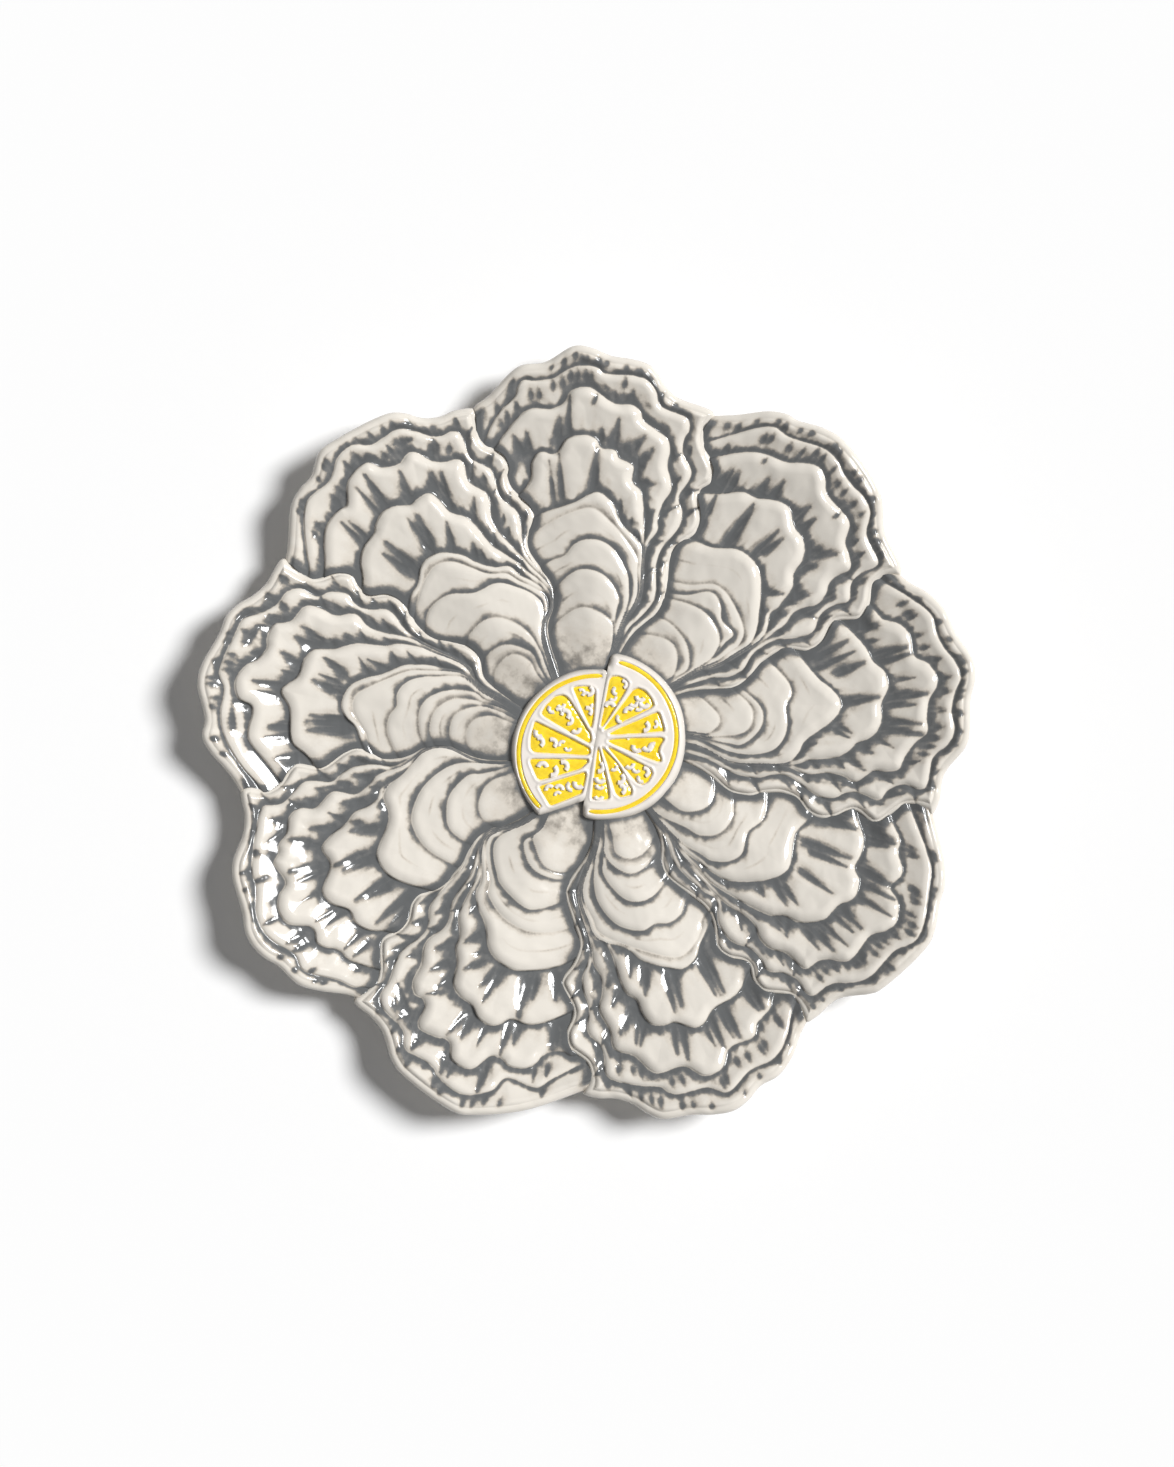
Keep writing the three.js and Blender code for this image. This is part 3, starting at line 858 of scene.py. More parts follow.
SHELL_2 = ShellForm(
    tip=41,
    front=(
        (-24, 119), (-16.5, 125.5), (-12, 131.8), (-9.3, 133.9), (-8, 133.8), (-4, 136.8), (-0.5, 137.8),
        (9, 133.8), (14, 127.2), (19.8, 125.7), (21.2, 123.9),
    ),
    flank=(
        (20.2, 119), (20.6, 114), (23.3, 109.8), (25, 105), (23.6, 97.8), (23.7, 96), (26.7, 89),
        (27.2, 84), (24.6, 77), (24.3, 71.5), (25.3, 66.5), (29, 59), (29.8, 54), (25, 43), (22.8, 37),
        (20, 19),
    ),
    lip_base=(
        (-24, 106), (-18.6, 113.5), (-10.5, 127.2), (-7.5, 127.2), (-1.5, 131.2), (1.3, 130.5),
        (2.5, 129.2), (5.5, 128.3), (7.5, 128.5), (10, 127), (12.5, 121.3), (17.6, 119.2), (17.9, 117.5),
        (17.5, 112.5), (18.3, 107.5), (20.6, 104.5), (21, 103), (20.3, 98.5), (20.5, 93.5), (23.2, 88),
        (23.2, 83.5), (20.8, 73.5), (21.5, 65.5), (24.8, 59.3), (24.8, 54.5), (22.5, 49), (20, 40),
    ),
    outer_frill=(
        (-24, 101), (-11, 116.6), (-5.2, 119.8), (-3.2, 122.7), (-0.8, 125), (1.3, 123.3), (3, 120.2),
        (9.3, 119), (11.5, 113.7), (14, 112), (15.8, 110), (15.6, 103.5), (16, 101), (17.8, 97.3),
        (18.3, 92.5), (17.6, 90), (17.3, 85), (18.6, 80), (19.7, 60), (19.6, 52),
    ),
    inner_frill=(
        (-24, 92), (-13.3, 97.8), (-9, 102.7), (-6, 103.8), (-3.6, 106.3), (-0.8, 107.8), (0.5, 107.3),
        (3, 104.2), (5.5, 103.5), (7.8, 101.2), (9.3, 97.3), (10, 93), (12.2, 89.8), (14, 82), (14.3, 78.2),
        (17.4, 73.7), (18.8, 69.5), (19, 66),
    ),
    body=(
        (-24, 77), (-13, 79.5), (-8, 80.7), (-3.5, 84.7), (0, 85.8), (3, 85.2), (6, 83), (16.2, 70.2),
        (18.2, 66),
    ),
    rings=(
        Ring(0.55, ((-24, 62), (-8, 65), (-2, 70.3), (2.5, 70.8), (14, 66.8), (16.8, 62.5))),
        Ring(0.95, ((-24, 57), (-7, 61.5), (-2, 67), (0, 67.8), (3.8, 66.2), (7, 63.2), (13, 63.2))),
        Ring(0.7, ((-24, 54), (-6, 59), (3, 60.8), (12, 58), (16.4, 49))),
        Ring(0.65, ((-24, 46), (-9, 50), (3, 48.8), (10, 45.8), (13.6, 42.8))),
        Ring(0.4, ((-24, 38), (-10, 43), (0, 45), (6, 43), (11.5, 38))),
    ),
    folds=(
        (-13, 90.5, -13.3, 97, 0.7), (-6.3, 84, -5.9, 101, 0.7), (-4.9, 85.5, -5.5, 99.5, 1),
        (0.8, 88, 1.3, 99, 0.9), (2.3, 90, 3.1, 98, 0.9), (9.5, 81, 12.2, 85.5, 0.8),
        (12.8, 75, 13.2, 77.5, 0.9), (-13.7, 100, -12.8, 107, 1.1), (-11.3, 101.5, -11.5, 108, 1),
        (-6, 104.5, -6.2, 111, 1.4), (-3.6, 106.5, -3.9, 113.5, 1), (2.2, 106, 2.6, 112.5, 1.2),
        (4.4, 104, 4.8, 111, 0.9), (8.8, 100.5, 12, 108.5, 1.7), (10, 95.5, 11.8, 100.5, 1.3),
        (14, 88, 15.5, 92.5, 1.5), (15, 78, 16.5, 82, 1.2), (7, 116.5, 7, 119, 0.5),
        (-8.7, 115, -8.5, 117, 0.5),
    ),
    dimples=(
        (-15.3, 113), (-10.6, 122.5), (-9.6, 124), (-6.3, 124.5), (-4.3, 125.5), (-2.5, 128.5),
        (-1.2, 128.5), (1.2, 128), (3.3, 125.5), (5, 124.7), (7.4, 124.3), (9.6, 124), (12.5, 116),
        (14.8, 115.5), (10.8, 118.5), (19, 111.5), (-17, 121), (-15.3, 122), (-13, 126.8), (-10, 130.5),
        (-8.6, 129.5), (-6.5, 132), (-4.8, 133.6), (-0.9, 134.5), (0.2, 133.8), (3.9, 131.7), (5.4, 131.5),
        (9, 131), (13, 124.3), (14.8, 123.7),
    ),
)
SHELL_3 = ShellForm(
    tip=81,
    front=(
        (-24, 121), (-17.3, 125.5), (-14.5, 129.8), (-11.5, 132.8), (-7, 134.3), (-2.8, 137.6), (0, 137.2),
        (3, 134.8), (7.5, 133.9), (10, 132.5), (14.5, 125.7), (19, 125.2), (21.5, 123.3),
    ),
    flank=(
        (20.8, 121), (20.4, 114.5), (24.9, 106.5), (25.3, 104), (23.9, 97), (26.5, 91), (27.8, 86),
        (27.3, 81), (25.1, 76.5), (24.4, 71), (25.7, 65.5), (28.4, 60.5), (29.6, 53), (25.6, 44.5),
        (23, 38.5), (21.3, 31), (19.5, 19),
    ),
    lip_base=(
        (-24, 114), (-18.7, 118), (-17.5, 119.8), (-11, 127.8), (-8, 127.5), (-5, 129), (-3.5, 130.8),
        (-0.7, 132), (2, 129), (4.5, 127.5), (7.5, 128.2), (9.7, 126), (11.3, 122), (12.3, 120.7),
        (16.3, 120), (17.2, 119), (17.5, 117), (17, 112), (18.3, 107.3), (20.4, 105), (20.7, 103),
        (20.1, 98), (20.4, 93), (22.2, 89), (22.8, 84), (19.2, 71.5), (19.5, 66.5), (21.4, 61.5),
        (22, 56.5), (21.6, 51.5), (18.2, 43), (16, 33),
    ),
    outer_frill=(
        (-24, 103), (-15.8, 110.2), (-13.2, 112), (-11.7, 116), (-9.5, 118.5), (-5.3, 118.2), (-3.7, 122),
        (-1.2, 124), (0.2, 123.5), (2.2, 120.3), (5, 118.9), (7.8, 118.8), (9.3, 115), (11.8, 111.5),
        (14.3, 109.7), (15, 106), (15.2, 101), (17.9, 95), (17, 90), (16.8, 85), (17.8, 77.5), (16.6, 70),
        (18.2, 52), (17, 47), (14, 42), (11.8, 37), (11, 33),
    ),
    inner_frill=(
        (-24, 93), (-14, 99.8), (-9.5, 102.8), (-6.5, 104), (-4, 106.7), (-1, 107), (2.3, 103.6),
        (5, 103.4), (7.2, 101.7), (8.8, 98.3), (9.7, 94.5), (11.7, 91.2), (13, 87.5), (14.2, 78),
        (15.5, 74), (16.5, 66),
    ),
    body=(
        (-24, 78), (-6, 83.8), (-3, 87.2), (0, 89.7), (1.5, 89.6), (4, 87), (9.2, 76.5), (12.3, 74.3),
        (15, 71.4), (16.1, 67),
    ),
    rings=(
        Ring(1.0, ((-24, 66), (-6.5, 73.5), (-3.5, 73.2), (-1, 70.7), (5, 70.2), (9, 68.5), (12, 65.3),
        (13.6, 60.5), (14.2, 54.5), (13.2, 48.5), (7.8, 38))),
        Ring(0.8, ((-24, 50), (-2, 61.7), (2, 62), (6, 60), (10.8, 53.8))),
        Ring(0.5, ((-24, 48), (-3, 58.2), (1, 58.5), (5, 56.5))),
        Ring(0.4, ((-24, 38), (-8, 44), (-1, 46.8), (2, 46.4), (5.8, 42))),
    ),
    folds=(
        (-10.3, 84.5, -11.8, 97.5, 0.9), (-8.2, 85, -9.3, 98.5, 0.8), (-5.9, 91, -6.6, 100.5, 1.2),
        (0.8, 91, 0.7, 103, 1.2), (5.6, 87.5, 7.5, 92.3, 0.6), (6.8, 86.5, 8.6, 91.5, 0.5),
        (-13.8, 103, -12.5, 108.5, 1.8), (-10.2, 103.5, -10, 108, 0.6), (-7, 104, -7.3, 116, 1.3),
        (-5.6, 105.5, -5.9, 118, 0.8), (-2, 110, -1.8, 116.5, 0.5), (0.8, 106, 1.3, 119.5, 1.3),
        (2.4, 104.5, 2.8, 115, 0.8), (5.4, 104, 6.3, 116.5, 0.9), (7, 103.5, 8.2, 117.5, 1),
        (8.8, 101, 10.5, 107, 0.5), (10.4, 95, 11.7, 99.5, 1.1), (13, 91, 15.2, 97.5, 0.8),
    ),
    dimples=(
        (-14.3, 120.5), (-12.5, 121), (-11.8, 121.5), (-6.3, 122.5), (-4, 125), (-0.9, 127), (1.4, 126.5),
        (4.2, 124), (7, 123), (8.8, 121.5), (10.2, 119.5), (11.5, 118), (-8.5, 121.5), (-17, 122.5),
        (-14, 125.5), (-6.5, 131.8), (-3.5, 133.5), (-2.7, 134), (-1.3, 133.5), (1.5, 131.5), (2.5, 131),
        (7.8, 130), (9.8, 128), (11, 124.5), (16.8, 122.5), (-9.5, 130), (5, 130.5),
    ),
)
SHELL_4 = ShellForm(
    tip=121,
    front=(
        (-24, 119), (-12, 132.2), (-9, 135), (-6, 135.8), (-3, 138), (0, 139), (9.7, 134.6), (11, 133),
        (15, 126.4), (19.5, 126), (21.4, 125.1),
    ),
    flank=(
        (20.5, 115.5), (24.3, 107.5), (24.6, 102.5), (23.6, 97.8), (23.9, 95.5), (26.4, 91), (27.4, 86),
        (24.7, 77.8), (24.2, 72), (29.5, 55.5), (28.8, 50.3), (24.6, 45), (21.7, 40), (19.5, 19),
    ),
    lip_base=(
        (-24, 110), (-12.4, 125.5), (-10.6, 128.1), (-8.7, 129.4), (0, 134.3), (3.6, 130), (9.4, 128.5),
        (12, 124.6), (13.4, 121.6), (14.7, 120.3), (17.8, 119.2), (18.3, 116.8), (17.9, 111.6),
        (19.4, 105.9), (20.5, 104.2), (21.2, 101.6), (20.8, 98.5), (21, 93.3), (23.1, 88.5), (23.8, 85.5),
        (23.5, 79), (20.2, 72), (21.5, 67.5), (23.9, 54),
    ),
    outer_frill=(
        (-24, 103), (-16, 110.6), (-13, 115.2), (-11.2, 115.5), (-8.5, 119.3), (-7.5, 119.5), (-5, 117.8),
        (-3.8, 121.5), (-2.8, 123.3), (-0.3, 125.3), (1.8, 123.5), (3.6, 120.3), (9.2, 119.7),
        (11.5, 113.8), (12.7, 112), (15.3, 111), (15.8, 109.5), (16.2, 102), (17.9, 97.3), (18.2, 92.5),
        (17, 87.5), (17.3, 82.5), (19, 75), (20.3, 55),
    ),
    inner_frill=(
        (-24, 93), (-14.7, 99), (-11, 103.3), (-8, 104), (-5.3, 104), (-3.8, 107), (-1, 108.6), (0.3, 108),
        (2.3, 105.5), (6.3, 104), (9.8, 98), (11, 92.2), (13, 88.8), (16.5, 74), (18.3, 66),
    ),
    body=(
        (-24, 80), (-12.5, 83), (-7, 80), (1.5, 83.6), (4, 82.7), (7.5, 79.3), (12, 73), (14.3, 69.3),
        (16.2, 62),
    ),
    rings=(
        Ring(0.95, ((-24, 63), (-12.2, 66.5), (-6.6, 67.4), (-0.8, 64.8), (5.5, 67.2), (9.7, 65.3),
        (13.6, 60.3))),
        Ring(0.8, ((-24, 49), (-4.5, 57), (0.7, 57.5), (5.5, 55.9), (9.7, 51.1))),
        Ring(0.8, ((-24, 42), (-9.8, 47.7), (-1.9, 48.1), (5.5, 42.2), (6.3, 34))),
    ),
    folds=(
        (-12.3, 88, -12.6, 99, 1.2), (-5.6, 84.5, -6.7, 101, 1), (-4.2, 88, -4.8, 101, 0.8),
        (0.8, 88, 1.2, 101, 0.8), (5.8, 86, 7.3, 93.5, 0.7), (6.6, 82.5, 8.8, 90.5, 0.9),
        (9.9, 79, 10.6, 82.5, 0.9), (-13.2, 102.5, -12.7, 112, 1.2), (-11.5, 104, -12.2, 113.5, 0.7),
        (-10.9, 104.5, -11.3, 111.5, 0.8), (-5.3, 105, -5.2, 117.5, 1.7), (-3.2, 109, -3.4, 121, 0.8),
        (-0.7, 110, -0.8, 122.5, 0.7), (2.8, 105.5, 3.6, 116, 1), (4.5, 105, 5, 114.5, 0.7),
        (7.3, 104, 7.5, 116, 0.6), (8.8, 102.5, 9.7, 113, 1.2), (10, 99, 11.3, 109, 0.8),
        (11.3, 94, 13.6, 98, 0.8), (12.5, 90.5, 13.8, 94.5, 1),
    ),
    dimples=(
        (-12.3, 119.5), (-11.3, 121), (-6.2, 125.5), (-5.7, 127), (-4.6, 128), (-2.6, 128.5), (-1.2, 131),
        (0, 131.5), (1.6, 127.5), (3.2, 125.5), (4.3, 124.5), (5.7, 125.5), (7.8, 123), (9, 122.5),
        (11.8, 117.5), (13.3, 116.5), (14.8, 116.5), (-12.6, 127.5), (-12, 128.5), (-7.5, 133),
        (-6.5, 132.5), (-5, 133), (-0.9, 137), (-0.1, 137), (6, 132.8), (7.1, 132.5), (9.5, 130),
        (13.8, 124.8), (17, 123), (18.8, 122.8),
    ),
)
SHELL_5 = ShellForm(
    tip=160,
    front=(
        (-24, 121.5), (-16.8, 126.3), (-12.5, 132.5), (-9.5, 135.2), (-6.5, 135.4), (-4, 138),
        (-1.5, 139.3), (1.5, 138.2), (4.5, 136.2), (9, 135.2), (11, 132.5), (13, 128.8), (15.5, 126.4),
        (18.5, 125.8), (20.8, 123.9),
    ),
    flank=(
        (19.8, 118.5), (20, 114), (23.7, 108.3), (24.4, 103.5), (23.2, 96), (26.5, 86.3), (26.2, 83.8),
        (23.9, 78.7), (22.6, 73.2), (22.7, 70.5), (28.9, 54.5), (28, 50), (20.6, 40), (17.8, 35), (14, 19),
    ),
    lip_base=(
        (-24, 112), (-17.3, 118.5), (-13.5, 125.5), (-10.3, 129), (-6.1, 128.7), (-1.6, 132.3), (1, 128.5),
        (6, 127.7), (7.3, 126.2), (8.1, 124.2), (11.5, 122.4), (16.8, 118.1), (17.1, 110.7), (17.6, 107.7),
        (19.9, 103.3), (20.2, 101.1), (19.8, 94.2), (21, 89), (21.4, 83.7), (20.1, 78.5), (19.5, 73.5),
        (23, 60.5), (24.4, 54.5),
    ),
    outer_frill=(
        (-24, 104), (-15.3, 111.6), (-14.3, 113.7), (-10.8, 115.9), (-9.3, 119), (-5.8, 118.5),
        (-4.3, 119.2), (-2.7, 123.3), (-1.4, 124.6), (1, 124.2), (3.6, 119.1), (8.6, 119), (11.8, 112),
        (14.9, 109.4), (15.5, 107.7), (15.7, 102.9), (17.7, 94.6), (16.8, 89.4), (16.9, 83.7), (18.6, 79),
        (19.1, 72.8),
    ),
    inner_frill=(
        (-24, 95), (-14, 100), (-11.5, 102.8), (-8.8, 103.8), (-4.8, 104.3), (-2.5, 107.2), (-0.5, 107.7),
        (3.3, 103.5), (4.5, 103.7), (7, 102.8), (8, 101.3), (9, 97.3), (9.5, 93), (11.5, 90), (12.5, 85.5),
        (13.8, 75.5), (15.2, 71.9), (18.4, 69.8),
    ),
    body=(
        (-24, 72), (-8.7, 82), (-6.4, 85.5), (-3, 87), (-1.5, 86.6), (3.4, 82.4), (6.5, 79.4), (9.2, 75),
        (16.8, 70.2), (18.6, 67.5),
    ),
    rings=(
        Ring(0.5, ((-24, 71), (-12.2, 75), (-10.8, 77.7), (-7.2, 81.1), (-2.9, 82.6), (4.4, 77.2),
        (17, 67.5))),
        Ring(1.0, ((-24, 62), (-11.4, 66.3), (-8.2, 69.4), (-4, 70.3), (-0.1, 68.7), (3.9, 69.7),
        (10.2, 66.5), (13.9, 62), (16.8, 56.3))),
        Ring(0.9, ((-24, 50), (-7.7, 57.2), (-1.9, 59.6), (3.4, 59.4), (7.6, 56.8), (13.6, 47.2))),
        Ring(0.85, ((-24, 42), (-9.3, 47.7), (1.8, 49.4), (9.2, 44.6), (11.7, 39.5))),
        Ring(0.5, ((-24, 38), (-6.6, 44.2), (0.2, 44.2), (6, 41.1))),
    ),
    folds=(
        (-8.3, 85, -8.3, 100.5, 0.8), (-7.2, 86, -7.4, 101, 0.5), (-6.3, 86.5, -6.5, 100, 0.7),
        (0, 85.5, 0.6, 99, 1), (1.9, 87, 2.3, 100, 0.9), (5.7, 82.5, 7.4, 91.5, 1),
        (6.8, 81.5, 7.9, 88, 0.6), (9, 77, 10, 84.5, 0.8), (-13, 103, -13, 112, 1),
        (-11.5, 103.5, -12.3, 112, 0.8), (-6.8, 104.5, -7, 117, 1), (-5.7, 104.5, -6, 116, 0.7),
        (-3.5, 106.5, -3.9, 118, 0.9), (-2, 108.5, -2.5, 116, 0.5), (2, 105, 2.6, 117, 1),
        (3.5, 104.5, 4.2, 114, 0.9), (8.6, 101, 10.3, 108.5, 0.7), (9.7, 99, 11, 107.5, 0.7),
        (10, 95, 13.5, 103, 1.9), (12.7, 88.5, 14.8, 93.5, 1), (13.8, 82, 15.5, 86.5, 1.2),
    ),
    dimples=(
        (-14.2, 120.5), (-13.9, 119), (-11, 117.5), (-10, 123.5), (-9.3, 124.5), (-6.7, 124.5),
        (-4.8, 124.5), (-2.2, 128), (-1.4, 129), (4.5, 124), (6.2, 123.5), (11, 118), (12.3, 117),
        (14.7, 116.5), (-13.5, 128.5), (-10.7, 131), (-7, 133), (-4, 136), (1.4, 136), (3.9, 133),
        (5.6, 132.5), (8.7, 129.5), (10, 128), (11.6, 126.5), (16.7, 121.5),
    ),
)
SHELL_6 = ShellForm(
    tip=199,
    front=(
        (-24, 119), (-18.1, 123.4), (-9, 132), (-1.9, 137.3), (0.5, 138.4), (10.3, 134), (12.5, 131.8),
        (16.3, 125.3), (19, 123.7), (23, 123),
    ),
    flank=(
        (22.3, 112.4), (27, 102), (27.2, 99.4), (26.2, 94.2), (26.5, 89.8), (28.7, 84.6), (29, 80.3),
        (27.8, 77.7), (26.5, 72.4), (26.5, 67.2), (27, 62), (29.1, 56.8), (30.4, 51.6), (29.3, 46.3),
        (25, 41.1), (20.5, 34), (19, 30), (17, 19),
    ),
    lip_base=(
        (-24, 109), (-13, 119.5), (-11, 123), (-9.8, 123.2), (-5.6, 121.6), (-4.8, 122.8), (-3.8, 126.8),
        (-1.5, 129.9), (1.2, 131.4), (5.3, 128.6), (6.1, 127), (8.6, 125.8), (11.2, 126), (12.1, 124.8),
        (13.4, 120.9), (18.6, 118.3), (20.2, 115.3), (20.6, 110), (22.4, 100), (21.3, 89), (22.1, 85.5),
        (24.7, 80.5), (25.3, 67),
    ),
    outer_frill=(
        (-24, 104), (-16.1, 111.3), (-14.5, 110), (-12.2, 110.3), (-10.8, 112), (-9.8, 115), (-8.2, 117.2),
        (-5.1, 117.5), (-4, 115.9), (-1.9, 115.9), (-0.1, 121.1), (1.3, 122.7), (4.2, 121.6), (5.5, 116.8),
        (6.5, 116.1), (8.1, 117), (11.3, 117.2), (12.1, 115.5), (12.6, 109.4), (13.6, 107.9), (15.2, 108.1),
        (17, 105), (17.6, 98.5), (19.4, 93.3), (19.8, 89.8), (18.5, 83.3), (18.7, 80.3), (21, 74.2),
        (22.3, 62.5),
    ),
    inner_frill=(
        (-24, 90), (-10, 100.7), (-6.4, 102.2), (-3.5, 101.8), (-1.4, 105), (-0.1, 105.9), (2.6, 105),
        (4.7, 101.8), (7.6, 100.7), (9.9, 98.1), (11.5, 90.7), (13.5, 86.8), (14.3, 82.4), (16.8, 78.1),
        (17.8, 75.5), (19.5, 65.5),
    ),
    body=(
        (-24, 70), (-13, 79.5), (-3, 84.5), (0, 84.9), (4.5, 83.2), (6.8, 80.8), (10.3, 74.2), (14.5, 70.3),
        (17.3, 66.6),
    ),
    rings=(
        Ring(0.5, ((-24, 62), (-12.5, 67), (-6, 69.5), (-1, 70.4), (4, 69.8), (9, 67.9), (14, 64.3))),
        Ring(1.0, ((-24, 52), (-9, 58.3), (-2.3, 62.1), (1.3, 63), (12.5, 59.2), (15.5, 56.8))),
        Ring(0.9, ((-24, 45), (-9, 49.8), (0, 50.1), (5, 48.9), (9.5, 46.1), (13.2, 42))),
        Ring(0.7, ((-24, 43), (-9, 47.3), (0, 46.8), (7, 42.2), (10.5, 39.3))),
    ),
    folds=(
        (-10.6, 81.5, -11.8, 92, 1), (-6.7, 85, -6.8, 93, 0.8), (-4.6, 84.5, -4.8, 100, 1.7),
        (1.4, 85.5, 3, 98.5, 1), (2.9, 86, 4.8, 94.5, 0.9), (6.8, 86.5, 9.3, 91, 1),
        (7.7, 83.8, 9.2, 85, 0.5), (9.9, 77.5, 12.2, 82.5, 1.2), (-12.6, 99, -12.3, 109.5, 2),
        (-5.2, 102, -5.2, 109.5, 1.1), (-3.4, 102.5, -3.3, 114.5, 0.8), (0.8, 107.5, 1, 114, 0.5),
        (3.7, 103, 4.2, 112.5, 1.6), (4.8, 103.5, 6.6, 114.5, 0.8), (10.7, 96, 12.3, 101, 1.2),
        (11, 102, 13.5, 105.5, 0.5), (13, 91.5, 15.3, 97.5, 1.2), (14.2, 84.5, 17, 90.5, 1.3),
        (-1.6, 119.5, -1.4, 128.5, 1.1), (3.6, 122, 3.7, 127.5, 0.6), (5.2, 121.5, 5, 127, 1.2),
        (10.6, 120.5, 10.8, 124.5, 0.9), (-9.7, 116.5, -9.8, 121.5, 0.5), (-12, 115, -11.8, 118.5, 0.7),
        (14, 115.7, 18.8, 108.7, 1.3), (16.8, 115.5, 17.8, 113.5, 0.7), (21.5, 101.5, 23.3, 104.8, 1),
        (23.3, 86, 24.8, 89, 0.9), (21.2, 77, 22.3, 81, 0.9), (25.5, 77, 26.8, 82.5, 0.8),
        (22.5, 65, 22.9, 75, 1), (25.2, 54, 25.8, 58.5, 0.9), (22.7, 97, 24, 100.3, 0.7),
        (19.8, 96.5, 21, 99.5, 0.5),
    ),
    dimples=(
        (-5.3, 131), (-2.9, 130.8), (-1.3, 133.5), (0.1, 134.5), (3.9, 133), (5.3, 131), (10.3, 129.5),
        (12.6, 127), (-11.5, 124.5), (7.8, 126.5), (15, 121.8),
    ),
)
SHELL_7 = ShellForm(
    tip=239,
    front=(
        (-24, 119), (-16.3, 122.6), (-12.2, 128.7), (-9.2, 132.9), (-5, 134.5), (-3, 136.6), (-0.5, 137.9),
        (2, 137.4), (4.2, 135.5), (10, 133.5), (12.2, 131.6), (16, 125.4), (18.7, 123.6), (22.8, 123.1),
    ),
    flank=(
        (23.4, 119.5), (22.2, 114.8), (23, 109.8), (25.7, 105.4), (26.5, 103), (25.5, 95.5), (25.7, 93),
        (28.6, 85.5), (29.4, 81), (25.9, 72), (25.6, 67), (26.7, 62), (29.1, 56.8), (29.2, 49.5),
        (22.4, 40.3), (17.3, 30), (14, 19),
    ),
    lip_base=(
        (-24, 111), (-16.6, 117.5), (-15.5, 119.5), (-13, 121.3), (-7.8, 128.2), (-5.4, 127), (-1.2, 130.8),
        (1.3, 131.6), (3.6, 130.7), (7, 127), (9.5, 126.5), (18.6, 117.8), (19.5, 116), (19.2, 110.8),
        (19.7, 108), (22.5, 101), (21.9, 90.7), (23.4, 87), (24.6, 82), (24.2, 74),
    ),
    outer_frill=(
        (-24, 104), (-11.1, 114.2), (-9.8, 114), (-8.5, 115), (-7.4, 117.2), (-5.8, 118.7), (-4, 117),
        (-2.9, 117.4), (-0.3, 123.3), (2.3, 123.7), (4.4, 121.1), (5.7, 117.2), (9.7, 118.3), (11, 115.5),
        (12.3, 114.6), (13.9, 110.7), (16.5, 108.5), (17.7, 104.6), (17, 99), (19.5, 91.6), (17.8, 83.7),
        (19.3, 79), (21.5, 75), (22.9, 66.3),
    ),
    inner_frill=(
        (-24, 92), (-12.7, 97.7), (-9.8, 102.2), (-7.2, 103.9), (-4.5, 103.1), (-1.4, 107), (1.3, 107.4),
        (4.7, 101), (6, 100.4), (8.9, 101), (10.8, 95.9), (11.8, 90.7), (13.8, 85.9), (14.4, 80.3),
        (15.8, 76.3), (17.6, 75.2),
    ),
    body=(
        (-24, 70), (-12, 77.5), (-3.8, 84.4), (-0.5, 85.2), (2.5, 84.6), (9, 75.7), (12, 74.6), (15, 74.9),
        (17.3, 73.4), (20.9, 66.6),
    ),
    rings=(
        Ring(0.85, ((-24, 62), (-11.4, 65), (-1.5, 68.7), (6.5, 68.1), (14.3, 61.3), (19.5, 52), (20.8, 46),
        (16.5, 34))),
        Ring(0.9, ((-24, 51), (-8.5, 56.3), (-1, 57.7), (7, 54.2), (10.8, 50.6), (14.7, 43.7))),
        Ring(0.65, ((-24, 42), (-8.7, 45.9), (-1.4, 45.5), (6.3, 40.3), (8.3, 35.5))),
    ),
    folds=(
        (-11.8, 88, -12, 95, 0.5), (-9.6, 82.5, -9.7, 98, 1.1), (-5, 86, -4.6, 94.5, 1.1),
        (-3.6, 85.5, -3.6, 99, 1.2), (2.5, 87, 2.9, 97, 1.3), (4.2, 88, 4.7, 99, 1.2),
        (8.2, 79.5, 10, 88.5, 1.5), (10.9, 85, 12, 88, 0.9), (-11.6, 104, -11.7, 112, 0.7),
        (-9.1, 104.5, -9.6, 112.5, 0.7), (-3.7, 104, -4.2, 113, 0.9), (-2.7, 106, -2.6, 114.5, 0.6),
        (1.7, 108.5, 1.6, 115, 0.5), (4.6, 103.5, 5, 113, 0.8), (6, 102.5, 7.3, 114, 1.4),
        (10.6, 103.5, 12.5, 109.5, 1.6), (11.6, 92.5, 13.3, 102, 1.3), (13.3, 91, 15.3, 94.5, 0.6),
        (15, 80, 16.6, 88.5, 1.7), (-4.8, 121, -4.6, 127, 0.9), (-3.3, 121, -3, 127, 1),
        (1.3, 126.5, 1.4, 130.5, 0.6), (7.9, 122.5, 8, 129, 0.6), (9.6, 124, 10, 130, 0.9),
        (12.2, 122.5, 12.6, 125, 0.8), (15.8, 119.5, 16, 122.5, 1), (18.8, 117.5, 20.3, 121, 0.9),
        (16, 111, 17, 114, 1.4), (-14, 113.5, -13.8, 115, 0.8), (20.2, 95, 21, 97, 0.7),
        (18.3, 99, 19.2, 101.5, 1), (20.3, 85, 21.5, 88.8, 1), (21, 78, 22.5, 83, 1.3),
        (24, 85.5, 25.3, 88, 1.1), (25, 80, 26.8, 83, 1.2), (18.3, 76, 18.8, 78.5, 0.6),
    ),
    dimples=(
        (-10.4, 127.5), (-11.5, 126), (-8.8, 126.5), (-4.2, 132.5), (-7, 131), (7.4, 131.5),
    ),
)
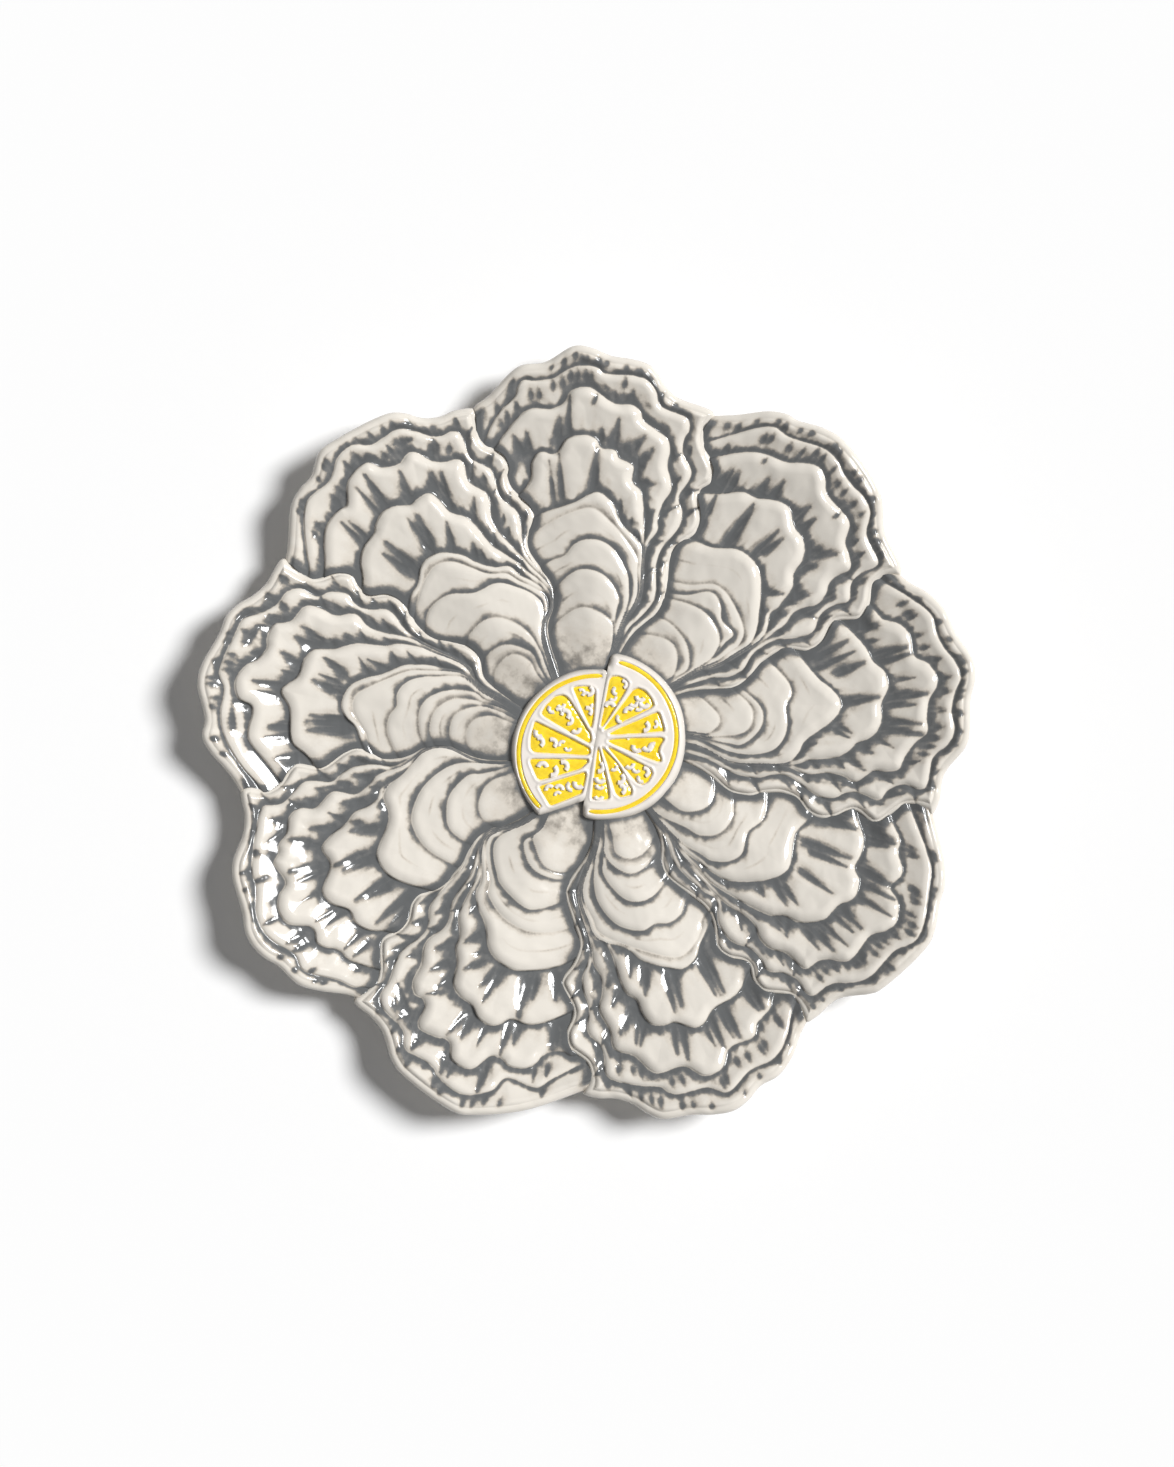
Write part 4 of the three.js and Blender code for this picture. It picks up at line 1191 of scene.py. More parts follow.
SHELL_8 = ShellForm(
    tip=279,
    front=(
        (-24, 121), (-16, 124.8), (-10.2, 133.6), (-8.3, 135.3), (-6, 134.5), (-1, 138), (1.7, 138),
        (7.2, 134.5), (10, 134), (12.3, 131.5), (14.3, 128.2), (16.8, 125.8), (21.7, 124.8),
    ),
    flank=(
        (21.8, 120), (21.2, 115), (21.8, 111), (25.2, 105.5), (26.2, 101.1), (24.8, 96.8), (24.9, 92.4),
        (27.5, 87.2), (28, 82), (24.9, 71.6), (24.4, 66.3), (29.8, 53.3), (28.9, 48.1), (22.3, 42.9),
        (19.9, 36.8), (15, 19),
    ),
    lip_base=(
        (-24, 112), (-16, 118), (-13.5, 121.6), (-9.5, 126.3), (-6.6, 128.5), (-4.5, 129), (-0.8, 128.5),
        (1.3, 131.1), (7.6, 129), (10.5, 127.7), (12.1, 123.3), (14.4, 119.2), (17.2, 117.6), (18.8, 114),
        (18.9, 108), (21.2, 103.7), (22.2, 98.5), (21.5, 95.9), (21.5, 90.7), (24.1, 83.5), (21.8, 73.3),
        (23, 52.5),
    ),
    outer_frill=(
        (-24, 104), (-14, 112), (-9, 119), (-7.2, 119.2), (-4.3, 118.1), (-3.2, 118.7), (-2.2, 123.3),
        (0.7, 125.2), (3.4, 122.4), (4.4, 119.8), (7, 117.2), (8.6, 118.1), (11.3, 117.2), (12.8, 112.4),
        (16.3, 109.8), (17.3, 104.6), (17.2, 99.4), (19.4, 92.9), (18.4, 87.7), (18.3, 84.6), (20.9, 71),
    ),
    inner_frill=(
        (-24, 92), (-12.7, 98.5), (-9.3, 104.2), (-2.9, 105.5), (0.2, 109.1), (3.4, 104.4), (6.8, 103.7),
        (9.2, 101.6), (10.7, 95), (13.6, 88.1), (15.7, 79.4), (17.8, 75), (20, 67),
    ),
    body=(
        (-24, 72), (-11.5, 79), (-5.8, 82), (-3.7, 85.5), (-0.8, 87.6), (3.6, 85.9), (7, 80.3), (8.1, 77.2),
        (13.2, 69.6), (16.5, 60.7),
    ),
    rings=(
        Ring(0.5, ((-24, 70), (-10, 77.3), (-7.5, 78.1), (-1.5, 83.4), (2, 83), (5.5, 77.5), (12.3, 67))),
        Ring(0.75, ((-24, 64), (-12, 68.3), (-6, 70.8), (-2, 70.2), (1, 68.3), (5, 69), (9, 66.5),
        (12, 61.8))),
        Ring(0.9, ((-24, 53), (-10, 58), (-5, 59.5), (1, 60), (5, 58.6), (9, 54.6), (12, 49.4),
        (13.8, 43.5))),
        Ring(0.45, ((-24, 50), (-10, 54.5), (-4, 55.9), (2, 54.5), (7.5, 50))),
        Ring(0.65, ((-24, 44), (-9, 48.5), (1, 47.8), (8, 40.5), (9, 34))),
        Ring(0.45, ((-24, 39), (-9.5, 42.7), (-3, 42.4), (2, 39.8), (5.3, 34.8))),
    ),
    folds=(
        (-6.5, 85, -6.8, 98, 1.3), (-5, 85, -5.2, 99, 1.2), (-4, 86, -3.8, 98, 0.7),
        (2.2, 90.5, 3.3, 98.5, 1.1), (4, 90, 4.8, 97, 0.5), (6.3, 88.5, 8.3, 96.5, 1.1),
        (8, 81, 10.8, 85.5, 0.5), (12.5, 72.5, 15, 75.5, 0.9), (-12.3, 102, -12.2, 109, 1.7),
        (-8.3, 105.5, -8.4, 113, 0.8), (-6, 105, -6.6, 112, 1.3), (-0.9, 109.5, -0.5, 117, 0.6),
        (1.1, 108.5, 1.1, 119, 1), (3.2, 105.5, 3.8, 109.5, 0.9), (5.3, 104.5, 7, 111, 1.5),
        (9.8, 101, 10.5, 108.5, 1.3), (11, 98.5, 12.8, 107.5, 1.2), (11.2, 95, 12.2, 97.3, 0.9),
        (15, 86, 16.8, 89, 0.5), (-3, 119.5, -2.7, 124.5, 1), (-7, 124.3, -3.6, 125.2, 0.8),
        (8.6, 124.8, 8.8, 127, 0.7), (7, 124, 10, 121.8, 0.9), (10.8, 128, 12.8, 122, 1.2),
        (14.9, 121, 15.6, 124, 1), (14.5, 115.5, 15.2, 118, 0.9), (18.9, 119.7, 19.1, 122.5, 0.9),
        (5.3, 118.8, 5.6, 121.3, 1), (12.3, 115.5, 12.3, 120, 1), (18.5, 98.5, 19.2, 102, 1),
        (19.3, 85, 20.5, 88.5, 0.5), (23.3, 88, 24.2, 90.3, 0.7), (24.5, 82, 25.8, 85, 1),
        (19.7, 80, 21.3, 83.5, 0.9), (23.2, 55.5, 25.2, 58.5, 1.1), (23.5, 51, 25, 54, 0.6),
    ),
    dimples=(
        (-11.1, 128.5), (-8.7, 131.3), (-3.9, 132.5), (-0.5, 133), (0.5, 133.2), (3, 133), (6.3, 130.3),
        (7.4, 131), (2, 128.3), (3.2, 128), (4.5, 128), (-2.5, 131),
    ),
)
SHELL_9 = ShellForm(
    tip=318,
    front=(
        (-24, 120), (-15.8, 125), (-9.5, 132.9), (-6.8, 134), (-4.5, 134), (-1, 137.9), (1.7, 137.4),
        (10.7, 134), (12.8, 131.2), (14.7, 127.2), (17.2, 125), (20.2, 124.8), (23.2, 122.5),
    ),
    flank=(
        (22.3, 113.3), (22.6, 110.7), (25.9, 104.2), (26.2, 99.4), (25.4, 96.8), (25.4, 92.4), (28.5, 84.6),
        (28.5, 79.6), (25.8, 75), (24.8, 70.3), (29.5, 55), (28, 48.3), (24.4, 44.6), (21.9, 41), (18, 19),
    ),
    lip_base=(
        (-24, 110), (-16, 115.5), (-15, 117.5), (-8, 128.8), (-2.9, 128.1), (0.7, 132), (3.6, 131.6),
        (5.7, 128.1), (10.5, 127.5), (12.6, 124.2), (14.7, 119.8), (16.3, 118.3), (18, 118.3), (19, 117.4),
        (19.5, 115), (19.4, 107.2), (22.2, 101.1), (22.2, 90.7), (24.8, 83.7), (23.6, 71.5),
    ),
    outer_frill=(
        (-24, 104), (-14, 111.6), (-11.4, 115.5), (-8.7, 118.5), (-5, 118.7), (-4, 117.8), (-0.8, 123.6),
        (3.4, 124.2), (4.9, 119.8), (7.8, 117.2), (9.4, 118.5), (10.7, 118.1), (13.1, 111.6), (14.4, 110),
        (17.3, 108.3), (17.8, 106.3), (17.2, 101.1), (17.6, 98.5), (19.5, 94.2), (19.7, 91.6), (18.3, 83.7),
        (22.3, 68.3),
    ),
    inner_frill=(
        (-24, 91), (-12.7, 97.2), (-10, 101.6), (-7.2, 104), (-3.7, 104.6), (-2.9, 105.9), (0, 107.7),
        (2.6, 106.3), (4.9, 103.5), (6.5, 103.7), (9.4, 102.9), (11, 93.3), (13.6, 88.5), (15.8, 76.3),
        (20.7, 66.6),
    ),
    body=(
        (-24, 70), (-9.3, 80.3), (-5.6, 81.1), (-2.4, 84.3), (0.7, 85.2), (3.9, 83.6), (7.8, 78.5),
        (10.2, 73.3), (13.6, 69), (17.6, 67),
    ),
    rings=(
        Ring(0.55, ((-24, 68), (-12, 75.5), (-3, 80.6), (1, 81.3), (4.7, 78.7), (11, 68.2), (16, 65))),
        Ring(1.0, ((-24, 64), (-12.5, 70.3), (-8.5, 72.3), (-2, 70.8), (4.5, 65.3), (12, 63.8),
        (17.2, 59.2))),
        Ring(0.55, ((-24, 50), (-8.5, 55.2), (0, 55.8), (5, 53.8), (9.5, 49.3), (13, 43.3), (13.8, 35))),
        Ring(0.8, ((-24, 41), (-9.5, 46.3), (1, 44.4), (8.5, 37.8), (9.5, 35))),
        Ring(0.4, ((-24, 37), (-9, 41), (1, 40), (5.7, 34))),
    ),
    folds=(
        (-4.7, 85.5, -5.6, 97, 0.9), (-3, 86, -3.6, 99, 1.3), (2.7, 94.5, 2.9, 100, 0.6),
        (3, 87, 4.8, 98.5, 1.5), (2, 86, 2.2, 92, 0.6), (7, 83, 9, 91, 0.8), (10, 75, 11.7, 79.5, 1),
        (12, 72.5, 12.5, 76.5, 0.7), (-6.9, 106, -6.5, 115, 0.7), (-5.5, 105, -5.4, 113.5, 0.6),
        (-0.7, 109.5, -0.5, 120, 0.6), (1.3, 108.5, 1.9, 121, 1), (5.3, 104.5, 7, 114.5, 1.2),
        (10.8, 102, 11.5, 108.5, 1.3), (11.5, 98, 13.3, 107, 1.1), (14.6, 87, 16.8, 94, 0.7),
        (11.2, 94.5, 12, 97, 1), (-9.5, 120.5, -9.3, 122, 0.8), (-4.5, 120.5, -4.3, 123.5, 1.3),
        (-3, 121, -2.8, 124.5, 0.9), (0.6, 125.5, 0.8, 129, 0.8), (2.6, 126, 2.7, 129.5, 1.2),
        (6.4, 121.5, 6.4, 124, 0.6), (7.8, 121.5, 7.7, 124.5, 0.6), (5.3, 120.5, 5, 123.5, 0.9),
        (9.5, 123, 11.5, 122, 1), (14.6, 115.5, 14.8, 118, 1), (16.6, 112.5, 17, 114.5, 0.7),
        (13.3, 113.5, 13.8, 116.5, 1), (-11, 119.3, -10.9, 121, 0.7), (20.3, 98, 20.5, 100.5, 0.5),
        (22, 103, 23.5, 105.5, 1), (20.7, 82, 21.5, 84.5, 0.5), (25.5, 80.5, 26.8, 82.5, 0.9),
        (20.3, 77, 21.5, 79.5, 0.7), (21.9, 71.5, 22.5, 74, 0.7), (25.7, 48, 26, 56, 0.9),
    ),
    dimples=(
        (-9.6, 129.5), (-8.2, 131), (-3.9, 132), (-1.9, 132.8), (-1.1, 133.5), (4.3, 131.8), (6.5, 130.5),
        (8.7, 130), (10.3, 130), (15.8, 122.3), (19.6, 120.5),
    ),
)
SHELL_FORMS = (SHELL_1, SHELL_2, SHELL_3, SHELL_4, SHELL_5, SHELL_6, SHELL_7, SHELL_8, SHELL_9)


@dataclass(frozen=True)
class EdgeStyle:
    """How one layer's edge drops, and how the glaze pools at its foot."""

    drop: float
    crest: float
    foot: float
    rounding: float
    left_width: float
    right_width: float
    left_pool: float
    right_pool: float


EDGE_STYLES = {
    Layer.LIP: EdgeStyle(2.0, 1.3, 0.4, 2.0, 0.0, 0.0, 0.0, 0.0),
    Layer.BAND: EdgeStyle(1.8, 0.55, 0.45, 3.0, 0.9, 1.5, 0.8, 0.95),
    Layer.OUTER_FRILL: EdgeStyle(2.6, 0.6, 0.55, 4.0, 1.4, 2.2, 0.95, 1.0),
    Layer.INNER_FRILL: EdgeStyle(2.6, 0.6, 0.55, 4.0, 1.3, 2.3, 0.95, 1.0),
    Layer.BODY: EdgeStyle(2.1, 0.6, 0.5, 4.0, 0.9, 2.1, 0.8, 1.0),
    Layer.RING: EdgeStyle(0.8, 0.6, 0.4, 2.6, 1.15, 1.7, 0.58, 0.9),
}


@dataclass(frozen=True)
class Mound:
    """The broad swell of a shell. It eases in and out over spans of angle and radius."""

    height: float = 4.0
    left: Span = (-18.0, 5.0)
    right: Span = (2.0, 31.0)
    right_loss: float = 0.75
    umbo: Span = (16.0, 60.0)
    umbo_share: float = 0.3
    rim: Span = (85.0, 135.0)
    rim_share: float = 0.5

    def rise(self, angle: Array, radius: Array) -> Array:
        """Returns the height of the swell."""
        left = eased(angle, *self.left)
        right = 1.0 - self.right_loss * eased(angle, *self.right)
        umbo = between(self.umbo_share, 1.0, eased(radius, *self.umbo))
        rim = between(1.0, self.rim_share, eased(radius, *self.rim))
        return self.height * left * right * umbo * rim


@dataclass(frozen=True)
class LayerStyle:
    """How the layers of a shell rise and round off. Zones are spans over which a change eases in."""

    lemon_zone: Span = (26.0, 62.0)
    lemon_share: float = 0.45
    rim_zone: Span = (114.0, 123.0)
    right_zone: Span = (-8.0, 9.0)
    faint_share: float = 0.45
    slope: float = 1.15
    narrowest: float = 0.05
    rounding_share: float = 0.8
    rounding_least: float = 0.1
    bends: Span = (0.7, 0.98)
    strip_zone: Span = (0.8, 3.2)
    roll_runs: Span = (1.3, 2.8)
    flank_fall: float = 1.5
    rim_fall: float = 0.55
    uneven_size: float = 14.0
    fine_size: float = 4.0
    fine_height: float = 0.02
    swell_size: float = 9.0
    swell_height: float = 0.09
    middle_zone: Span = (24.0, 54.0)
    middle_lift: float = 1.5


@dataclass(frozen=True)
class PoolStyle:
    """How the grey glaze lies on a shell, with painted contact shade in the line round the lemon. A mark is a
    least share and the swing above it.
    """

    narrow_zone: Span = (0.6, 1.6)
    narrow_pool: float = 0.8
    mark_size: float = 3.2
    layer_pitch: Span = (1.5, 0.2)
    layer_mark: Span = (0.35, 0.65)
    layer_run: float = 4.5
    band_wash: float = 0.45
    frill_wash: float = 0.7
    ring_mark: Span = (0.4, 0.6)
    ring_run: float = 2.6
    ring_zone: Span = (40.0, 84.0)
    ring_wash: Span = (0.55, 0.15)
    width_uneven: float = 0.3
    width_fine: float = 0.22
    width_least: float = 0.2
    pool_uneven: float = 0.15
    inward_share: float = 0.45
    clear_zone: Span = (0.5, 2.2)
    faint_zone: Span = (1.8, 3.5)
    faint_gaps: Span = (-0.6, 0.8)
    faint_pool: float = 0.3
    faint_width: float = 0.5
    seam_width: float = 2.0
    seam_uneven: float = 0.5
    seam_wash: float = 0.45
    seam_run: float = 5.0
    lemon_reach: float = 44.0
    lemon_spacing: float = 1.2
    # The grey line round the lemon's base is pooled glaze with painted contact shade.
    lemon_pool_and_shade: float = 0.4
    lemon_width: float = 1.2
    lemon_wash: float = 0.72
    lemon_radius: float = 26.0
    lemon_run: float = 13.0
    brush_pitch: Span = (3.0, 0.3)
    brush_zone: Span = (72.0, 95.0)
    brush_share: float = 0.22
    fine_share: float = 0.1
    lip_zone: Span = (1.2, 3.4)


@dataclass(frozen=True)
class FoldStyle:
    """How folds are shaped, pressed and glazed, and how wedges follow one another down the flank."""

    margin: float = 3.0
    halo: float = 1.3
    crisp_side: float = 0.75
    soft_side: float = 1.2
    start_zone: Span = (0.0, 0.2)
    start_share: float = 0.75
    end_zone: Span = (0.4, 1.0)
    end_loss: float = 0.45
    core_depth: float = 0.4
    halo_depth: float = 0.6
    core_pool: float = 0.9
    halo_pool: float = 0.35
    dimple_half: float = 1.3
    dimple_shape: tuple[float, float, float] = (1.05, 0.85, 0.3)
    dimple_pool: Span = (0.6, 0.95)
    wedge_start: Span = (24, 32)
    wedge_stride: Span = (9, 14)
    wedge_end_radius: float = 46.0
    wedge_out: float = 0.75
    wedge_back: float = 0.6
    wedge_width: Span = (0.9, 1.5)
    wedge_end_width: float = 0.4
    wedge_depth: float = 0.5
    wedge_pool: Span = (0.6, 1.0)
    wedge_least: float = 2.2
    wedge_apart: float = 4.5

    def traced_shape(self, width: float) -> tuple[float, float, float, float]:
        """Returns the widths, the depth and the pool of a traced fold."""
        return (1.5 * width + 0.2, 0.75 * width + 0.1, 0.3 + 0.3 * width, min(0.5 + 0.5 * width, 1.0))


@dataclass(frozen=True)
class Fold:
    """A valley pressed into one layer of a shell, from its start at the inner edge to its end."""

    layer: int
    start: Point
    end: Point
    start_width: float
    end_width: float
    depth: float
    pool: float


@dataclass
class Relief:
    """The points of a shell's top, with their distances inside its lines, their height and their glaze."""

    angle: Array
    radius: Array
    plan: Array
    fields: list[Array]
    exposed: Array
    strength: Array
    rightward: Array
    uneven: Array
    fine: Array
    height: Array
    pool: Array
    wash: Array
    cover: list[Array] = field(default_factory=list)

    def add_pool(self, amount: Array) -> None:
        """Darkens the glaze by an amount from 0 to 1."""
        self.pool = 1.0 - (1.0 - self.pool) * (1.0 - np.clip(amount, 0.0, 1.0))

    def press(self, fold: Fold, style: FoldStyle) -> None:
        """Presses one fold into its layer and lets the glaze pool in it."""
        start, end = np.array(fold.start), np.array(fold.end)
        margin = style.margin * (max(fold.start_width, fold.end_width) + style.halo)
        low = np.minimum(start, end) - margin
        high = np.maximum(start, end) + margin
        near = np.nonzero(np.all((self.plan > low) & (self.plan < high), axis=-1))
        if near[0].size == 0:
            return
        run = end - start
        offset = self.plan[near] - start
        share = np.clip(offset @ run / (run @ run), 0.0, 1.0)
        offset = offset - share[:, None] * run
        across = np.linalg.norm(offset, axis=1)
        crisp = offset[:, 0] * run[1] - offset[:, 1] * run[0] > 0.0
        width = between(fold.start_width, fold.end_width, share)
        width = width * np.where(crisp, style.crisp_side, style.soft_side)
        fade = 1.0 - style.end_loss * eased(share, *style.end_zone)
        fade = fade * between(style.start_share, 1.0, eased(share, *style.start_zone))
        kept = self.cover[fold.layer][near]
        if fold.layer + 1 < len(self.cover):
            kept = kept * (1.0 - self.cover[fold.layer + 1][near])
        fade = fade * kept
        core = bell(across, width)
        broad = bell(across, width + style.halo)
        self.height[near] -= fold.depth * (style.core_depth * core + style.halo_depth * broad) * fade
        glaze = np.clip(fold.pool * fade * (style.core_pool * core + style.halo_pool * broad), 0.0, 1.0)
        self.pool[near] = 1.0 - (1.0 - self.pool[near]) * (1.0 - glaze)


@dataclass
class OysterShell:
    """One shell of the pinwheel, with the shell before it lying over its left side."""

    number: int
    form: ShellForm
    over: ShellForm
    dish: Dish
    centre: Point
    mound: Mound = Mound()
    layers: LayerStyle = LayerStyle()
    pools: PoolStyle = PoolStyle()
    folding: FoldStyle = FoldStyle()
    cover: float = 2.2
    inner_radius: float = 19.0
    tuck: float = 0.8
    columns: int = 240
    column_crowding: float = 0.25
    inner_rows: int = 72
    inner_share: float = 0.27
    outer_rows: int = 250
    row_crowding: float = 0.28
    reach: float = 12.0
    nose_inset: float = 3.0
    corner_columns: float = 8.0
    shoulder_run: float = 5.0
    wall_rows: int = 5
    wall_overlap: float = 0.05
    floor_step: int = 24
    floor_margin: float = 5.0

    def step(self) -> float:
        """Returns the angle from the tip of the shell over this one to its own."""
        return (self.form.tip - self.over.tip) % 360.0

    def drift(self, plan: Array, size: float, seed: Seed) -> Array:
        """Returns uneven values over the plan that differ from shell to shell."""
        return mottle(plan, size, seed.value + self.number)

    def marks(self, relief: Relief, pitch: Span, seed: Seed) -> Array:
        """Returns uneven values that run along the shell like brush marks."""
        stretched = np.stack([pitch[0] * relief.angle, pitch[1] * relief.radius], axis=-1)
        return self.drift(stretched, self.pools.mark_size, seed)

    def over_angle(self, radius: Array) -> Array:
        """Returns the angle of the edge that lies over this shell's left side."""
        flank = self.over.outline_parts()[1]
        edge = np.interp(radius, flank[::-1, 1], flank[::-1, 0]) - self.step()
        return edge - np.degrees(self.tuck / radius)

    def grid(self) -> tuple[Array, Array]:
        """Lays a grid over the shell that follows its outline.

        Returns:
            Angles and radii, in rows from the umbo to the lip.
        """
        front, flank = self.form.outline_parts()
        visible = front[:, 0] > self.over_angle(front[:, 1])
        corner_angle, corner_radius = front[int(np.argmax(visible))]
        shoulder_angle, shoulder_radius = front[-1]
        left_over = 1.0 - np.arange(self.columns + 1) / self.columns
        across = 1.0 - between(left_over, left_over**2, self.column_crowding)
        inner = np.linspace(0.0, self.inner_share, self.inner_rows, endpoint=False)
        outer_over = 1.0 - np.arange(self.outer_rows + 1) / self.outer_rows
        outer = 1.0 - (1.0 - self.inner_share) * between(outer_over, outer_over**2, self.row_crowding)
        upward = np.concatenate([inner, outer])
        rim = np.interp(between(corner_angle, shoulder_angle, across), front[:, 0], front[:, 1])
        left = self.over_angle(between(self.inner_radius, corner_radius, upward))
        left[-1] = corner_angle
        right_radius = between(self.inner_radius, shoulder_radius, upward)
        right = np.interp(right_radius, flank[::-1, 1], flank[::-1, 0])
        angle = between(left[:, None], right[:, None], across[None, :])
        radius = between(self.inner_radius, rim[None, :], upward[:, None])
        return angle, radius

    def blank(self, paths: list[Array]) -> Relief:
        """Lays out the shell's top, still without layers and glaze.

        Args:
            paths: Plan points of the shell's lines.

        Returns:
            The shell's top.
        """
        angle, radius = self.grid()
        plan = plan_points(angle, radius)
        style = self.layers
        return Relief(
            angle=angle,
            radius=radius,
            plan=plan,
            fields=[edge_distance(plan, path, self.reach) for path in paths],
            exposed=eased(radius, *style.rim_zone),
            strength=between(style.lemon_share, 1.0, eased(radius, *style.lemon_zone)),
            rightward=eased(angle, *style.right_zone),
            uneven=self.drift(plan, style.uneven_size, Seed.UNEVEN),
            fine=self.drift(plan, style.fine_size, Seed.FINE),
            height=np.zeros_like(radius),
            pool=np.zeros_like(radius),
            wash=np.zeros_like(radius),
        )

    def relief(self) -> Relief:
        """Builds the shell's top: layers on the mound, then folds, glaze and the rolled edge.

        Returns:
            The shell's top.
        """
        paths = self.form.paths()
        relief = self.blank(paths)
        style, radius = self.layers, relief.radius
        streaks = self.marks(relief, self.pools.layer_pitch, Seed.STREAKS)
        for index in range(len(paths)):
            self.raise_layer(relief, index, streaks)
        base = self.dish.seat(radius) + self.cover + self.mound.rise(relief.angle, radius)
        relief.height = base + relief.height
        for fold in self.folds(paths):
            relief.press(fold, self.folding)
        self.glaze(relief)
        swell = self.drift(relief.plan, style.swell_size, Seed.SWELL)
        relief.height += style.fine_height * relief.fine + style.swell_height * swell
        relief.height += style.middle_lift * (1.0 - eased(radius, *style.middle_zone))
        fall = style.rim_fall * (relief.height - self.dish.underside(radius))
        fall = between(style.flank_fall, fall, relief.exposed)
        relief.height -= fall * rounded_fall(relief.fields[0] / between(*style.roll_runs, relief.exposed))
        return relief

    def raise_layer(self, relief: Relief, index: int, streaks: Array) -> None:
        """Raises one layer over those outside it, and glazes it.

        Args:
            relief: The shell's top so far.
            index: Place of the layer's edge, counted from the lip.
            streaks: Brush marks of the wash.
        """
        style = self.layers
        layer = Layer(min(index, Layer.RING.value))
        edge_style = EDGE_STYLES[layer]
        line = self.form.rings[index - Layer.RING.value].weight if layer is Layer.RING else 1.0
        edge = relief.fields[index]
        last = index + 1 == len(relief.fields)
        inner = np.full_like(edge, self.reach) if last else np.maximum(-relief.fields[index + 1], 0.0)
        lip = layer is Layer.LIP
        depth = np.maximum(edge - between(*style.roll_runs, relief.exposed) if lip else edge, 0.0)
        strip = depth + inner
        drop = edge_style.drop * relief.strength * between(style.faint_share, 1.0, line)
        surface = drop * (1.0 - depth / np.maximum(strip, style.narrowest)) ** style.slope
        rounding = np.minimum(edge_style.rounding, style.rounding_share * strip + style.rounding_least)
        bend = between(*style.bends, relief.rightward)
        surface -= bend * drop * (1.0 - np.clip(depth / rounding, 0.0, 1.0)) ** 2
        weight = np.ones_like(edge) if lip else eased(edge, -edge_style.foot, edge_style.crest)
        if not lip:
            surface = surface * eased(strip, *style.strip_zone)
            narrow = 1.0 - eased(strip, *self.pools.narrow_zone)
            relief.add_pool(self.pools.narrow_pool * weight * narrow * (inner > 0.0))
        relief.height = between(relief.height, surface, weight)
        relief.cover.append(weight)
        self.brush_layer(relief, index, inner, streaks)
        if not lip:
            self.pool_at_foot(relief, index, edge_style, line)

    def brush_layer(self, relief: Relief, index: int, inner: Array, streaks: Array) -> None:
        """Brushes wash over one layer, strongest beside the next layer inside it.

        Args:
            relief: The shell's top so far.
            index: Place of the layer's edge, counted from the lip.
            inner: Distance from the next edge inside it.
            streaks: Brush marks of the wash.
        """
        style = self.pools
        if index < Layer.BODY.value:
            (least, swing), run, marks = style.layer_mark, style.layer_run, streaks
            amount = style.band_wash if index < Layer.OUTER_FRILL.value else style.frill_wash
        else:
            (least, swing), run, marks = style.ring_mark, style.ring_run, relief.uneven
            amount = between(*style.ring_wash, eased(relief.radius, *style.ring_zone))
        brushed = np.clip(least + swing * marks, 0.0, 1.0) * np.exp(-inner / run) * (inner > 0.0)
        relief.wash = between(relief.wash, amount * brushed, relief.cover[index])

    def pool_at_foot(self, relief: Relief, index: int, edge_style: EdgeStyle, line: float) -> None:
        """Lets the glaze pool at the foot of an edge, and in a faint line across a wide body strip.

        Args:
            relief: The shell's top so far.
            index: Place of the edge, counted from the lip.
            edge_style: How its layer's edge is glazed.
            line: Weight of the line.
        """
        style = self.pools
        edge = relief.fields[index]
        width = between(edge_style.left_width, edge_style.right_width, relief.rightward)
        width = width * (1.0 + style.width_uneven * relief.uneven + style.width_fine * relief.fine)
        amount = between(edge_style.left_pool, edge_style.right_pool, relief.rightward)
        amount = amount * (1.0 + style.pool_uneven * relief.uneven) * line
        away = edge + edge_style.foot
        outward = bell(np.maximum(-away, 0.0), np.maximum(width, style.width_least))
        inward = bell(np.maximum(away, 0.0), style.inward_share * (edge_style.foot + edge_style.crest))
        clear = eased(relief.fields[index - 1], *style.clear_zone)
        relief.add_pool(amount * outward * inward * clear)
        if index >= Layer.BODY.value and index + 1 < len(relief.fields):
            midway = np.abs(edge + relief.fields[index + 1]) / 2.0
            room = eased(np.abs(edge) - midway, *style.faint_zone) * eased(relief.uneven, *style.faint_gaps)
            relief.add_pool(style.faint_pool * room * bell(midway, style.faint_width))

    def glaze(self, relief: Relief) -> None:
        """Darkens the glaze beside the shell above, paints pooled glaze and contact shade round the lemon,
        and keeps the rim's lip clear.

        Args:
            relief: The shell's top, with its layers and folds.
        """
        style, radius = self.pools, relief.radius
        over_path = turned(self.over.outline(), -self.step())
        beside = np.maximum(-edge_distance(relief.plan, over_path, self.reach, -1.0), 0.0)
        relief.add_pool(bell(beside, style.seam_width + style.seam_uneven * relief.uneven))
        relief.wash += style.seam_wash * np.exp(-beside / style.seam_run)
        relief.wash += style.lemon_wash * bell(radius - style.lemon_radius, style.lemon_run)
        # A grey line round the lemon's base: pooled glaze with painted contact shade.
        near = np.nonzero(radius < style.lemon_reach)
        for outline in (LEFT_OUTLINE, RIGHT_OUTLINE):
            slice_edge = smooth_path(np.array(outline), style.lemon_spacing, closed=True)
            away = np.full_like(radius, self.reach)
            away[near] = polygon_depth(relief.plan[near], turned(slice_edge, -self.form.tip))
            relief.add_pool(style.lemon_pool_and_shade * bell(away, style.lemon_width))
        brush = self.marks(relief, style.brush_pitch, Seed.BRUSH) * eased(radius, *style.brush_zone)
        texture = 1.0 + style.brush_share * brush + style.fine_share * relief.fine
        relief.pool = np.clip(relief.pool * texture, 0.0, 1.0)
        relief.pool *= between(1.0, eased(relief.fields[0], *style.lip_zone), relief.exposed)

